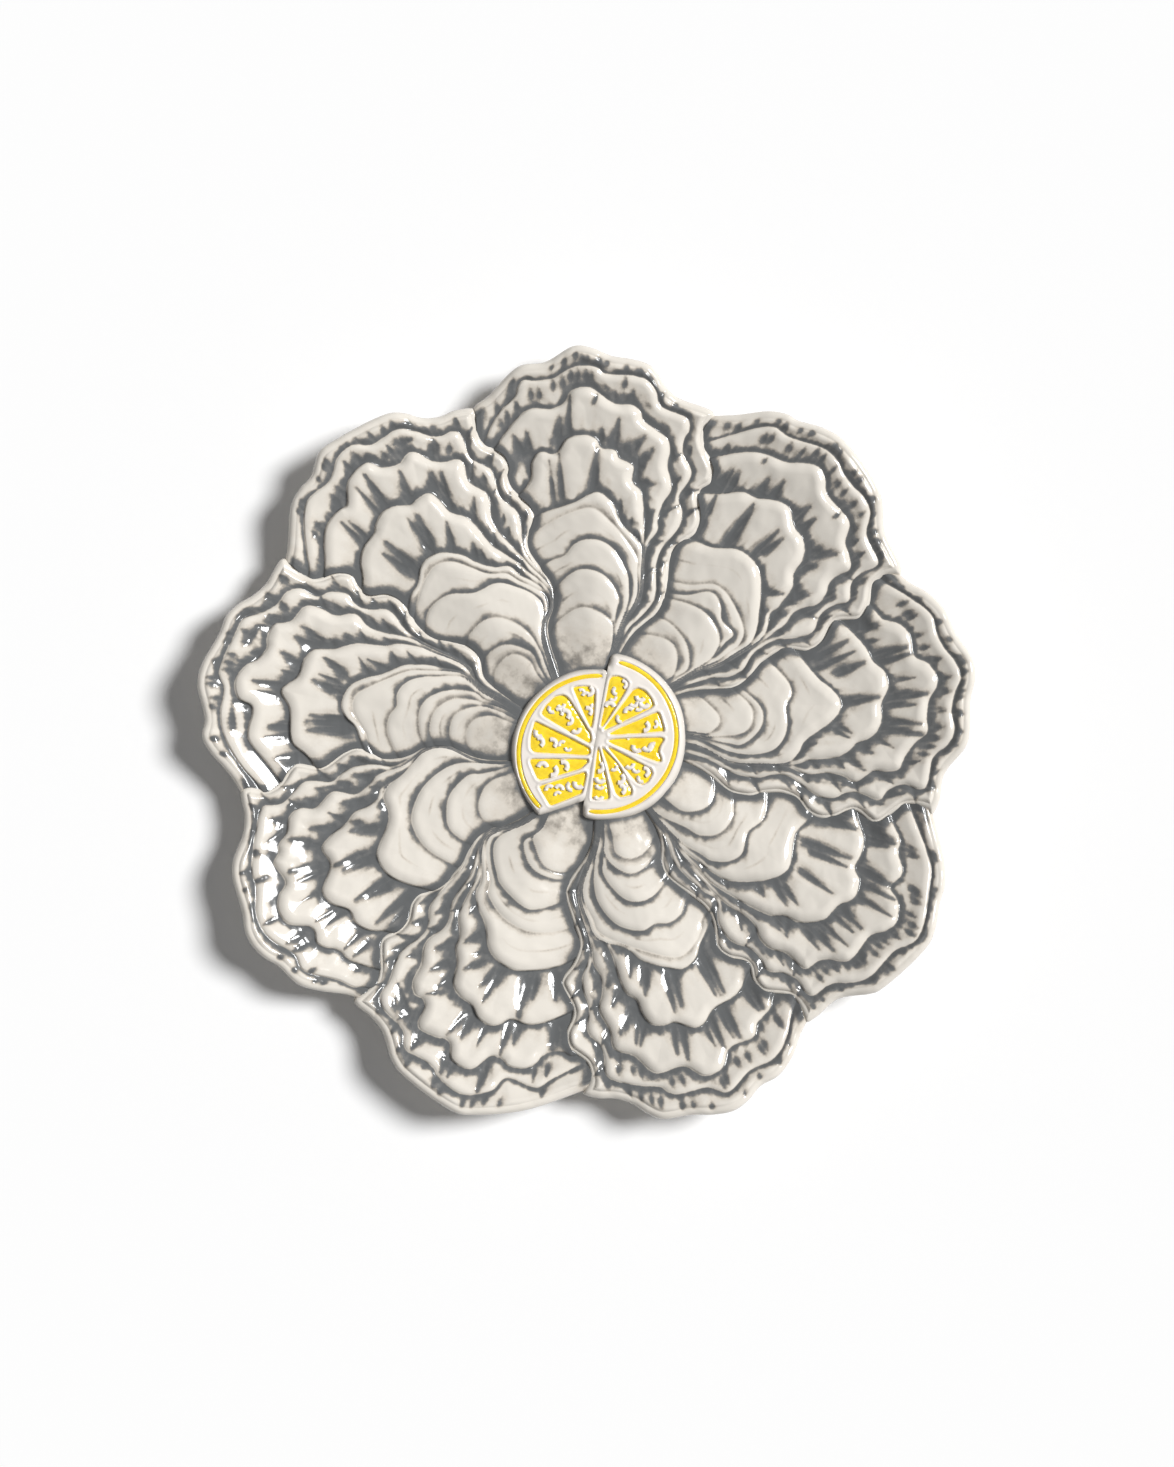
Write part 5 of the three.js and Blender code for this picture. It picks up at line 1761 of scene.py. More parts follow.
    def folds(self, paths: list[Array]) -> list[Fold]:
        """Lists the folds of every layer.

        Args:
            paths: Plan points of the shell's lines.

        Returns:
            The traced folds and dimples, then the wedges of the flank.
        """
        style = self.folding
        draw = np.random.RandomState(Seed.FOLDS.value + self.number)
        shapes = []
        for start_angle, start_radius, end_angle, end_radius, width in self.form.folds:
            ends = plan_points(np.array([start_angle, end_angle]), np.array([start_radius, end_radius]))
            shapes.append((*ends, *style.traced_shape(width)))
        for angle, radius in self.form.dimples:
            radii = np.array([radius - style.dimple_half, radius + style.dimple_half])
            ends = plan_points(np.array([angle, angle]), radii)
            shapes.append((*ends, *style.dimple_shape, draw.uniform(*style.dimple_pool)))
        outlines = [np.concatenate([path, np.zeros((1, 2))]) for path in paths]
        traced = []
        for start, end, *shape in shapes:
            middle = (start + end) / 2.0
            layer = sum(bool(polygon_depth(middle, outline) > 0.0) for outline in outlines) - 1
            traced.append(Fold(max(layer, 0), tuple(start), tuple(end), *shape))
        taken = np.array([(start + end) / 2.0 for start, end, *_ in shapes])
        return traced + self.wedges(paths, taken, draw)

    def wedges(self, paths: list[Array], taken: Array, draw: np.random.RandomState) -> list[Fold]:
        """Lists the short wedges that follow one another down the flank of each layer.

        Args:
            paths: Plan points of the shell's lines.
            taken: Middles of the folds that are there already.
            draw: Source of the uneven steps and shapes.

        Returns:
            The wedges, where a layer is wide enough and no other fold is near.
        """
        style = self.folding
        wedges: list[Fold] = []
        for index in range(Layer.BODY.value):
            inner, outer = paths[index + 1], paths[index]
            radii = np.linalg.norm(inner, axis=1)
            place = int(np.argmax(radii)) + int(draw.uniform(*style.wedge_start))
            while place < len(inner) - 2 and radii[place] > style.wedge_end_radius:
                along = inner[place + 1] - inner[place - 1]
                along = along / np.linalg.norm(along)
                outward = np.array([-along[1], along[0]])
                width = float(np.min(np.linalg.norm(outer - inner[place], axis=1)))
                end = inner[place] + outward * style.wedge_out * width - along * style.wedge_back * width
                start_width = draw.uniform(*style.wedge_width)
                pool = draw.uniform(*style.wedge_pool)
                shape = (start_width, style.wedge_end_width, style.wedge_depth, pool)
                apart = float(np.min(np.linalg.norm(taken - (inner[place] + end) / 2.0, axis=1)))
                if width > style.wedge_least and apart > style.wedge_apart:
                    wedges.append(Fold(index, tuple(inner[place]), tuple(end), *shape))
                place += int(draw.uniform(*style.wedge_stride))
        return wedges

    def solid(self, relief: Relief) -> tuple[Surface, Array]:
        """Closes the relief into a solid with a rolled lip and a floor on the dish.

        Args:
            relief: The shell's top.

        Returns:
            The surface, and the numbers of the vertices that carry the relief's glaze, in its grid.
        """
        surface = Surface()
        points = np.concatenate([relief.plan, relief.height[..., None]], axis=-1)
        rows, columns = relief.height.shape
        numbers = np.full((rows, columns), -1)
        coarse = np.arange(0, columns, 2)
        split = self.inner_rows
        numbers[:split, coarse] = surface.add_points(points[:split, coarse])
        numbers[split:] = surface.add_points(points[split:])
        surface.add_grid(numbers[:split, coarse])
        surface.add_grid(numbers[split:])
        join, seam = numbers[split - 1, coarse], numbers[split]
        surface.smooth_faces.append(
            np.stack([join[:-1], join[1:], seam[2::2], seam[1::2], seam[:-1:2]], axis=-1)
        )
        loop = np.concatenate([
            np.stack([np.zeros_like(coarse), coarse], axis=-1)[:-1],
            np.stack([np.arange(rows), np.full(rows, columns - 1)], axis=-1)[:-1],
            np.stack([np.full(columns, rows - 1), np.arange(columns)[::-1]], axis=-1)[:-1],
            np.stack([np.arange(rows)[::-1], np.zeros(rows, dtype=int)], axis=-1)[:-1],
        ])
        self.add_walls(surface, relief, points, numbers, loop)
        return surface, numbers

    def add_walls(self, surface: Surface, relief: Relief, points: Array, numbers: Array, loop: Array) -> None:
        """Adds the walls round the shell and the floor under it.

        Args:
            surface: The surface so far.
            relief: The shell's top.
            points: The top's points.
            numbers: Their numbers, in the grid.
            loop: Rows and columns of the border, anticlockwise from above.
        """
        rows, columns = numbers.shape
        border = points[loop[:, 0], loop[:, 1]]
        radius = relief.radius[loop[:, 0], loop[:, 1]]
        exposed = np.where(loop[:, 0] == rows - 1, eased(loop[:, 1], 0.0, self.corner_columns), 0.0)
        flank = loop[:, 1] == columns - 1
        shoulder = relief.radius[-1, -1]
        exposed = np.where(flank, eased(radius, shoulder - self.shoulder_run, shoulder), exposed)
        along = np.roll(border, -1, axis=0)[:, :2] - np.roll(border, 1, axis=0)[:, :2]
        inward = np.stack([-along[:, 1], along[:, 0]], axis=-1)
        inward /= np.linalg.norm(inward, axis=1)[:, None]
        nose = self.dish.underside(radius - self.nose_inset) - self.wall_overlap
        lower = between(self.dish.seat(radius), nose, exposed)
        upper_row = numbers[loop[:, 0], loop[:, 1]]
        upper = np.append(upper_row, upper_row[0])
        for row in range(1, self.wall_rows + 1):
            turn = 0.5 * math.pi * row / self.wall_rows
            inset = self.nose_inset * (1.0 - math.cos(turn)) * exposed
            plan = border[:, :2] + inward * inset[:, None]
            height = between(border[:, 2], lower, math.sin(turn))
            ring = surface.add_points(np.concatenate([plan, height[:, None]], axis=-1))
            ring = np.append(ring, ring[0])
            surface.add_strip(upper, ring)
            upper = ring
        self.add_floor(surface, relief, upper[:-1], loop)

    def add_floor(self, surface: Surface, relief: Relief, ring: Array, loop: Array) -> None:
        """Closes the underside between the lowest points of the walls.

        Args:
            surface: The surface so far.
            relief: The shell's top.
            ring: Numbers of the walls' lowest points.
            loop: Rows and columns of the border that the walls hang from.
        """
        rows, columns = relief.height.shape
        middle_radii = relief.radius[:, columns // 2]
        kept = int(np.argmax(middle_radii > middle_radii[-1] - self.floor_margin))
        inner_columns = np.arange(self.floor_step, columns - 1, self.floor_step)
        row_numbers = np.arange(1, kept)
        seat = self.dish.seat(relief.radius)
        points = np.concatenate([relief.plan, seat[..., None]], axis=-1)
        middle = surface.add_points(points[row_numbers][:, inner_columns])
        lookup = {(int(row), int(column)): int(number) for (row, column), number in zip(loop, ring)}
        left = np.array([lookup[(int(row), 0)] for row in row_numbers])
        right = np.array([lookup[(int(row), columns - 1)] for row in row_numbers])
        floor = np.concatenate([left[:, None], middle, right[:, None]], axis=1)
        for near, far in zip(floor[:-1], floor[1:]):
            for column in range(len(near) - 1):
                surface.add_flat((near[column], far[column], far[column + 1], near[column + 1]))
        stations = np.concatenate([[0], inner_columns, [columns - 1]])
        for column in range(floor.shape[1] - 1):
            low, high = int(stations[column]), int(stations[column + 1])
            near = [lookup[(0, place)] for place in range(low, high + 1) if (0, place) in lookup]
            surface.add_flat([*near, floor[0, column + 1], floor[0, column]][::-1])
            far = [lookup[(rows - 1, place)] for place in range(low, high + 1)]
            if column == 0:
                far = [lookup[(row, 0)] for row in range(kept, rows - 1)] + far
            if column == floor.shape[1] - 2:
                far = far + [lookup[(row, columns - 1)] for row in range(rows - 2, kept - 1, -1)]
            surface.add_flat([floor[-1, column], *far, floor[-1, column + 1]])

    def build(self, material: bpy.types.Material) -> None:
        """Makes the shell.

        Args:
            material: Its glaze.
        """
        relief = self.relief()
        surface, numbers = self.solid(relief)
        for block, points in enumerate(surface.vertices):
            plan = turned(points[:, :2], self.form.tip) + np.array(self.centre)
            surface.vertices[block] = np.concatenate([plan, points[:, 2:]], axis=-1)
        name = f"oyster_shell_{self.number}"
        mesh = surface.mesh(name)
        used = numbers >= 0
        for label, values in (("pool", relief.pool), ("wash", relief.wash)):
            spread = np.zeros(surface.count)
            spread[numbers[used]] = values[used]
            set_attribute(mesh, label, spread)
        place_piece(f"{name}_glazed", mesh, material, [name])


# Plate body and foot


@dataclass
class PlateBody:
    """The dish under the shells, whose lobed edge is hidden in their lips."""

    dish: Dish
    forms: tuple[ShellForm, ...]
    centre: Point
    hidden: float = 2.2
    columns: int = 720
    rows: int = 40
    cap_share: float = 0.3
    top_gap: float = 0.1

    def rim(self) -> Array:
        """Returns the rim's radius at each column's bearing."""
        bearings = np.arange(self.columns) * 360.0 / self.columns
        furthest = np.zeros(self.columns)
        for form in self.forms:
            front = form.outline_parts()[0]
            angle = (bearings - form.tip + 180.0) % 360.0 - 180.0
            radius = np.interp(angle, front[:, 0], front[:, 1], left=0.0, right=0.0)
            furthest = np.maximum(furthest, radius)
        return furthest - self.hidden

    def build(self, material: bpy.types.Material) -> None:
        """Makes the dish.

        Args:
            material: Its glaze.
        """
        bearings = np.arange(self.columns + 1) * 360.0 / self.columns
        rim = self.rim()
        rim = np.append(rim, rim[0])
        shares = np.linspace(self.cap_share, 1.0, self.rows)
        radius = shares[:, None] * rim[None, :]
        plan = plan_points(np.broadcast_to(bearings, radius.shape), radius) + np.array(self.centre)
        surface = Surface()
        rings = []
        for height in (self.dish.top(radius) - self.top_gap, self.dish.underside(radius)):
            numbers = surface.add_points(np.concatenate([plan, height[..., None]], axis=-1)[:, :-1])
            rings.append(np.concatenate([numbers, numbers[:, :1]], axis=1))
        top, lower = rings
        surface.add_grid(top)
        surface.add_quads(lower[:-1, 1:], lower[:-1, :-1], lower[1:, :-1], lower[1:, 1:])
        surface.add_quads(top[-1, :-1], top[-1, 1:], lower[-1, 1:], lower[-1, :-1])
        surface.add_flat(top[0, :-1][::-1])
        surface.add_flat(lower[0, :-1])
        place_piece("plate_body_glazed", surface.mesh("plate_body"), material, ["plate_body"])


class GrowthDesk(NodeDesk):
    """The geometry node tree of a shape that grows by a rule."""

    def __init__(self, name: str, inputs: dict[str, str], output: str) -> None:
        """Makes the tree, with the kinds of its named inputs, and one output."""
        tree = bpy.data.node_groups.new(name, "GeometryNodeTree")
        self.output = output
        self.sockets: dict[str, str] = {}
        for label, kind in inputs.items():
            socket = tree.interface.new_socket(label, in_out="INPUT", socket_type=kind)
            self.sockets[label] = socket.identifier
        tree.interface.new_socket(output, in_out="OUTPUT", socket_type="NodeSocketGeometry")
        super().__init__(tree)
        given = self.node("NodeGroupInput")
        self.inputs = {label: Wire(self, given.outputs[label]) for label in inputs}

    def end(self, shape: Wire, material: bpy.types.Material) -> None:
        """Ends the tree in plain geometry with one material."""
        whole = self.wire("GeometryNodeRealizeInstances", {}, {0: shape})
        dressed = self.wire("GeometryNodeSetMaterial", {}, {0: whole, "Material": material})
        self.node("NodeGroupOutput", {}, {self.output: dressed})

    def grow(self, name: str, values: dict[str, float], base: bpy.types.Mesh | None = None) -> bpy.types.Mesh:
        """Runs the tree and keeps its result as a plain mesh.

        Args:
            name: Name of the mesh.
            values: The inputs, by name.
            base: The mesh that it starts from, if any.

        Returns:
            The mesh.
        """
        holder = bpy.data.objects.new(name, base or bpy.data.meshes.new(f"{name}_base"))
        bpy.context.scene.collection.objects.link(holder)
        modifier = holder.modifiers.new("grown", "NODES")
        modifier.node_group = self.tree
        for label, value in values.items():
            modifier[self.sockets[label]] = value
        evaluated = holder.evaluated_get(bpy.context.evaluated_depsgraph_get())
        mesh = bpy.data.meshes.new_from_object(evaluated)
        bpy.data.objects.remove(holder)
        mesh.name = name
        return mesh


@dataclass
class FootRing:
    """The ring that the plate stands on, a rounded section turned about the centre by geometry nodes."""

    centre: Point
    radius: float = 74.0
    width: float = 5.0
    height: float = 4.1
    rounding: float = 1.1
    turns: int = 240
    corner_points: int = 5

    def desk(self, material: bpy.types.Material) -> GrowthDesk:
        """Builds the node tree.

        Args:
            material: The ring's finish.

        Returns:
            The tree's desk.
        """
        labels = ("Radius", "Width", "Height", "Rounding")
        desk = GrowthDesk("turned_foot", dict.fromkeys(labels, "NodeSocketFloat"), "Ring")
        radius, width, height, rounding = (desk.inputs[label] for label in labels)
        path = desk.wire("GeometryNodeCurvePrimitiveCircle", {}, {"Resolution": self.turns, "Radius": radius})
        section = desk.wire("GeometryNodeCurvePrimitiveQuadrilateral", {}, {"Width": width, "Height": height})
        corners = {"Curve": section, "Radius": rounding, "Count": self.corner_points}
        rounded = desk.wire("GeometryNodeFilletCurve", {"mode": "POLY"}, corners)
        ring = desk.wire("GeometryNodeCurveToMesh", {}, {"Curve": path, "Profile Curve": rounded})
        desk.end(desk.wire("GeometryNodeSetShadeSmooth", {}, {0: ring}), material)
        return desk

    def build(self, material: bpy.types.Material) -> None:
        """Makes the foot ring.

        Args:
            material: Its finish.
        """
        sizes = {"Radius": self.radius, "Width": self.width, "Height": self.height, "Rounding": self.rounding}
        values = {label: size * METRES for label, size in sizes.items()}
        mesh = self.desk(material).grow("foot_ring", values)
        place = (*self.centre, 0.5 * self.height)
        mesh.transform(Matrix.Translation([length * METRES for length in place]))
        place_piece("foot_ring_turned", mesh, material, ["foot_ring"])


# Lemon


@dataclass(frozen=True)
class Segment:
    """One segment of flesh: corners of its outline, and the places of the small vesicles on it."""

    node: str
    corners: Trace
    vesicles: Trace

    def outline(self) -> Array:
        """Returns the outline, rounded at its corners."""
        arriving, leaving, spacing = 0.82, 0.18, 0.4
        corners = np.array(self.corners)
        before = between(np.roll(corners, 1, axis=0), corners, arriving)
        after = between(corners, np.roll(corners, -1, axis=0), leaving)
        rounded = np.stack([before, between(before, after, 0.5) * 0.5 + corners * 0.5, after], axis=1)
        return smooth_path(rounded.reshape(-1, 2), spacing, closed=True)


LEFT_SEGMENTS = (
    Segment(
        "left_flesh_5",
        ((-5.4, 18.2), (-3.9, 18.8), (0.0, 18.8), (2.1, 17.9), (2.5, 16.8), (2.1, 8.8), (1.4, 4.6),
         (0.7, 4.4), (-1.1, 8.4)),
        ((-2.4, 16.6), (0.2, 17.3), (-0.7, 15.3), (0.2, 12.1), (-0.2, 10.0)),
    ),
    Segment(
        "left_flesh_4",
        ((-16.5, 8.8), (-15.1, 11.9), (-11.6, 15.3), (-8.8, 15.8), (-7.0, 14.7), (0.7, 2.5), (1.1, 0.0),
         (0.2, -1.2)),
        ((-9.5, 12.6), (-12.5, 10.9), (-10.4, 9.6), (-8.2, 8.8), (-6.8, 6.9), (-4.2, 4.0)),
    ),
    Segment(
        "left_flesh_3",
        ((-18.8, 6.3), (-17.9, 6.3), (0.4, -2.8), (0.7, -4.6), (-0.7, -5.4), (-18.9, -4.4), (-20.3, -2.8),
         (-20.3, 0.7)),
        ((-17.0, 2.6), (-17.3, -0.8), (-12.7, -1.2), (-9.0, -1.7), (-7.0, -2.6)),
    ),
    Segment(
        "left_flesh_2",
        ((-20.3, -7.0), (-19.6, -6.7), (0.0, -6.8), (0.0, -7.7), (-2.8, -10.2), (-16.5, -14.2),
         (-17.9, -13.7), (-20.3, -8.1)),
        ((-16.0, -9.7), (-12.6, -10.8), (-8.8, -9.3)),
    ),
    Segment(
        "left_flesh_1",
        ((-17.2, -16.5), (-16.5, -16.0), (-1.1, -11.2), (-0.7, -12.3), (-1.8, -17.5), (-2.5, -18.9),
         (-12.6, -23.0), (-13.7, -22.8)),
        ((-13.5, -17.4), (-10.2, -17.4), (-10.6, -19.4), (-5.8, -16.3), (-3.2, -15.2)),
    ),
)
RIGHT_SEGMENTS = (
    Segment(
        "right_flesh_1",
        ((7.5, 21.0), (8.4, 22.3), (10.5, 22.4), (13.0, 21.4), (14.2, 19.8), (13.3, 17.5), (5.3, 4.6),
         (4.4, 4.6)),
        ((12.2, 19.5), (10.1, 17.2), (8.7, 15.0), (7.6, 11.5)),
    ),
    Segment(
        "right_flesh_2",
        ((15.1, 16.5), (15.8, 17.5), (17.5, 18.2), (20.0, 17.2), (22.1, 14.7), (23.1, 12.3), (21.7, 10.9),
         (5.6, 3.3), (5.3, 3.9)),
        ((16.0, 13.2), (18.4, 15.3), (19.8, 13.2), (17.6, 11.8), (14.4, 9.8), (11.5, 7.5)),
    ),
    Segment(
        "right_flesh_3",
        ((24.2, 9.8), (25.1, 9.1), (26.6, 4.2), (26.5, 3.0), (5.6, 1.6)),
        ((19.8, 4.8), (23.2, 5.6)),
    ),
    Segment(
        "right_flesh_4",
        ((26.8, 0.9), (25.2, -2.1), (24.7, -4.2), (25.6, -6.5), (25.6, -7.5), (24.2, -7.7), (5.3, 0.0)),
        ((17.3, -2.4), (20.8, -1.9), (23.0, -2.9)),
    ),
    Segment(
        "right_flesh_5",
        ((6.0, -1.6), (20.3, -9.3), (22.1, -10.2), (22.6, -11.9), (21.0, -14.7), (18.9, -15.8),
         (16.8, -14.7)),
        ((14.6, -8.5), (17.0, -10.1), (19.7, -11.3), (18.8, -13.5)),
    ),
    Segment(
        "right_flesh_6",
        ((4.6, -2.1), (10.2, -7.7), (15.4, -17.5), (15.1, -19.3), (11.2, -20.2), (9.5, -18.6), (7.0, -9.8)),
        ((9.0, -9.5), (11.0, -13.5), (12.6, -15.5), (11.4, -17.4)),
    ),
    Segment(
        "right_flesh_7",
        ((3.5, -2.5), (2.8, -7.0), (1.1, -20.7), (3.2, -21.0), (6.3, -21.0), (7.5, -20.3), (6.7, -14.7),
         (4.6, -5.3)),
        ((3.8, -9.5), (4.3, -13.3), (4.2, -15.8), (3.8, -19.6)),
    ),
)


@dataclass
class LemonSlice:
    """One slice: white pith with pockets for the flesh, and a groove for the rind's yellow line."""

    name: str
    outline_points: Trace
    kernel: Point
    centre: Point
    rind_radius: float
    rind_angles: Span
    segments: tuple[Segment, ...]
    origin: Point
    neighbour: Trace
    seat: float = 7.3
    top: float = 14.3
    rows: int = 84
    spacing: float = 0.36
    neighbour_spacing: float = 1.5
    first_share: float = 0.02
    crowding: float = 0.85
    uneven_size: float = 9.0
    uneven_height: float = 0.12
    roll_run: float = 2.6
    roll_fall: float = 2.6
    seam_fall: float = 0.5
    seam_zone: Span = (1.0, 3.0)
    # Greys of the rolled edge and the side wall: partly thin glaze, partly painted shade.
    rim_thin_glaze_and_shade: float = 0.45
    rim_zone: Span = (0.0, 0.9)
    wall_thin_glaze_and_shade: float = 0.7
    pocket: float = 1.2
    pocket_edge: Span = (-0.45, 0.3)
    bead_height: float = 0.22
    bead_inset: float = 0.75
    bead_width: float = 0.5
    groove: float = 0.75
    groove_edge: Span = (0.5, 1.1)
    groove_lead: float = 0.5
    groove_ease: float = 1.5
    flesh_rows: int = 16
    flesh_first: float = 0.04
    flesh_run: float = 1.8
    flesh_inset: float = 0.95
    flesh_swell: float = 0.5
    flesh_patch: float = 2.2
    flesh_uneven: float = 0.1
    flesh_floor: float = 2.0
    rind_width: float = 1.5
    rind_section: Trace = (
        (-1.0, -0.55), (-0.85, -0.38), (-0.5, -0.26), (0.0, -0.22), (0.5, -0.26), (0.85, -0.38), (1.0, -0.55),
        (1.0, -1.0), (-1.0, -1.0),
    )
    rind_steps: int = 220
    rind_taper: float = 6.0
    rind_least: float = 0.02
    vesicle_sink: float = 0.5
    vesicle_length: float = 1.4
    vesicle_thickness: float = 0.85

    def placed(self, plan: Array, height: Array) -> Array:
        """Returns points in the plate's frame, from plan points about the pinwheel's centre and heights."""
        return np.concatenate([plan + np.array(self.origin), height[..., None]], axis=-1)

    def pith_top(self, plan: Array, outline: Array) -> tuple[Array, Array]:
        """Shapes the top of the pith.

        Args:
            plan: Plan points of the top.
            outline: The slice's outline.

        Returns:
            The heights, and the greyness of the rolled edge, partly thin glaze and partly painted shade.
        """
        depth = np.clip(polygon_depth(plan, outline), 0.0, None) / self.roll_run
        height = self.top + self.uneven_height * mottle(plan, self.uneven_size, Seed.PITH.value)
        neighbour = smooth_path(np.array(self.neighbour), self.neighbour_spacing, closed=True)
        apart = -polygon_depth(plan, neighbour)
        fall = between(self.seam_fall, self.roll_fall, eased(apart, *self.seam_zone))
        height -= fall * rounded_fall(depth)
        for segment in self.segments:
            inside = polygon_depth(plan, segment.outline())
            height -= self.pocket * eased(inside, *self.pocket_edge)
            height += self.bead_height * bell(inside + self.bead_inset, self.bead_width)
        away = np.linalg.norm(plan - np.array(self.centre), axis=-1) - self.rind_radius
        bearing = np.degrees(np.arctan2(plan[..., 0] - self.centre[0], plan[..., 1] - self.centre[1]))
        past = (bearing - self.rind_angles[0]) % 360.0
        sweep = self.rind_angles[1] - self.rind_angles[0]
        ends = eased(past, -self.groove_lead, self.groove_ease)
        ends = ends * (1.0 - eased(past, sweep - self.groove_ease, sweep + self.groove_lead))
        height -= self.groove * (1.0 - eased(np.abs(away), *self.groove_edge)) * ends
        # The rolled edge is greyed by thin glaze together with painted shade.
        return height, self.rim_thin_glaze_and_shade * (1.0 - eased(depth, *self.rim_zone))

    def build_pith(self, material: bpy.types.Material) -> None:
        """Makes the white body of the slice.

        Args:
            material: Its glaze.
        """
        outline = anticlockwise(smooth_path(np.array(self.outline_points), self.spacing, closed=True))
        share = np.linspace(self.first_share, 1.0, self.rows) ** self.crowding
        kernel = np.array(self.kernel)
        plan = kernel + share[:, None, None] * (outline - kernel)[None, :, :]
        height, pool = self.pith_top(plan, outline)
        surface = Surface()
        numbers = surface.add_points(self.placed(plan, height))
        floor = surface.add_points(self.placed(outline, np.full(len(outline), self.seat)))
        surface.add_tube(np.concatenate([numbers, floor[None, :]]))
        mesh = surface.mesh(self.name)
        # The side wall is painted grey, partly thin glaze and partly painted shade.
        set_attribute(mesh, "pool", np.concatenate([pool.ravel(), np.full(len(outline), self.wall_thin_glaze_and_shade)]))
        place_piece(f"{self.name}_pith", mesh, material, [self.name])

    def build_flesh(self, material: bpy.types.Material) -> None:
        """Makes the pillows of yellow glaze in the pockets.

        Args:
            material: Their glaze.
        """
        share = np.linspace(self.flesh_first, 1.0, self.flesh_rows)
        for segment in self.segments:
            outline = anticlockwise(segment.outline())
            middle = outline.mean(axis=0)
            plan = middle + share[:, None, None] * (outline - middle)[None, :, :]
            inside = np.clip(polygon_depth(plan, outline), 0.0, self.flesh_run) / self.flesh_run
            height = self.top - self.flesh_inset + self.flesh_swell * np.sin(0.5 * math.pi * inside)
            height += self.flesh_uneven * mottle(plan, self.flesh_patch, Seed.FLESH.value) * inside
            surface = Surface()
            numbers = surface.add_points(self.placed(plan, height))
            floor_height = np.full(len(outline), self.top - self.flesh_floor)
            floor = surface.add_points(self.placed(outline, floor_height))
            surface.add_tube(np.concatenate([numbers, floor[None, :]]))
            node = segment.node
            place_piece(f"{node}_glazed", surface.mesh(node), material, [node])

    def build_rind(self, material: bpy.types.Material) -> None:
        """Makes the yellow line of the rind.

        Args:
            material: Its glaze.
        """
        bearings = np.linspace(*self.rind_angles, self.rind_steps)
        half = 0.5 * self.rind_width
        across, lift = np.array(self.rind_section).T
        steps = np.arange(self.rind_steps)
        ends = np.sqrt(np.clip(np.minimum(steps, steps[::-1]) / self.rind_taper, self.rind_least, 1.0))
        radius = self.rind_radius + (across * half)[None, :] * ends[:, None]
        plan = plan_points(np.broadcast_to(bearings[:, None], radius.shape), radius) + np.array(self.centre)
        height = np.broadcast_to(self.top + lift[None, :], radius.shape)
        surface = Surface()
        surface.add_tube(surface.add_points(self.placed(plan, height)))
        node = f"{self.name.split('_')[-1]}_rind_glaze"
        place_piece(f"{node}_line", surface.mesh(node), material, [node])

    def build_vesicles(self, material: bpy.types.Material) -> None:
        """Makes the small curled vesicles that stand on the flesh.

        Args:
            material: Their glaze.
        """
        points = np.array([place for segment in self.segments for place in segment.vesicles])
        placed = self.placed(points, np.full(len(points), self.top - self.vesicle_sink)) * METRES
        base = bpy.data.meshes.new(f"{self.name}_places")
        base.from_pydata(placed.tolist(), [], [])
        values = {
            "Length": self.vesicle_length * METRES,
            "Thickness": self.vesicle_thickness * METRES,
            "Seed": len(self.name),
        }
        mesh = curl_desk(material).grow(f"{self.name}_vesicles", values, base)
        place_piece(f"{self.name}_vesicle_curls", mesh, material, [])

    def build(self, pith: bpy.types.Material, yellow: bpy.types.Material) -> None:
        """Makes every piece of the slice.

        Args:
            pith: The white glaze.
            yellow: The yellow glaze.
        """
        self.build_pith(pith)
        self.build_flesh(yellow)
        self.build_rind(yellow)
        self.build_vesicles(pith)


def curl_desk(material: bpy.types.Material) -> GrowthDesk:
    """Builds the node tree that puts a small curl at each point.

    Args:
        material: Finish of the curls.

    Returns:
        The tree's desk.
    """
    arc_points, section_points = 8, 7
    sweep = math.radians(165.0)
    least_girth, smallest, largest = 0.02, 0.7, 1.15
    inputs = {
        "Places": "NodeSocketGeometry",
        "Length": "NodeSocketFloat",
        "Thickness": "NodeSocketFloat",
        "Seed": "NodeSocketInt",
    }
    desk = GrowthDesk("vesicle_curls", inputs, "Curls")
    places, length, thickness, seed = (desk.inputs[label] for label in inputs)
    arc = desk.wire(
        "GeometryNodeCurveArc", {}, {"Resolution": arc_points, "Radius": length, "Sweep Angle": sweep}
    )
    along = desk.wire("GeometryNodeSplineParameter")
    hump = along * (1.0 - along) * 4.0
    girth = hump.maths("POWER", hump + least_girth, 0.5)
    tapered = desk.wire("GeometryNodeSetCurveRadius", {}, {"Curve": arc, "Radius": girth})
    circle = {"Resolution": section_points, "Radius": thickness}
    section = desk.wire("GeometryNodeCurvePrimitiveCircle", {}, circle)
    tube = desk.wire(
        "GeometryNodeCurveToMesh", {}, {"Curve": tapered, "Profile Curve": section, "Fill Caps": True}
    )
    smooth = desk.wire("GeometryNodeSetShadeSmooth", {}, {0: tube})
    turns = {0: (0.0, 0.0, 0.0), 1: (0.0, 0.0, 2.0 * math.pi), "Seed": seed}
    turn = desk.wire("FunctionNodeRandomValue", {"data_type": "FLOAT_VECTOR"}, turns, 0)
    sizes = {2: smallest, 3: largest, "Seed": seed}
    size = desk.wire("FunctionNodeRandomValue", {"data_type": "FLOAT"}, sizes, 1)
    placing = {"Points": places, "Instance": smooth, "Rotation": turn, "Scale": size}
    desk.end(desk.wire("GeometryNodeInstanceOnPoints", {}, placing), material)
    return desk


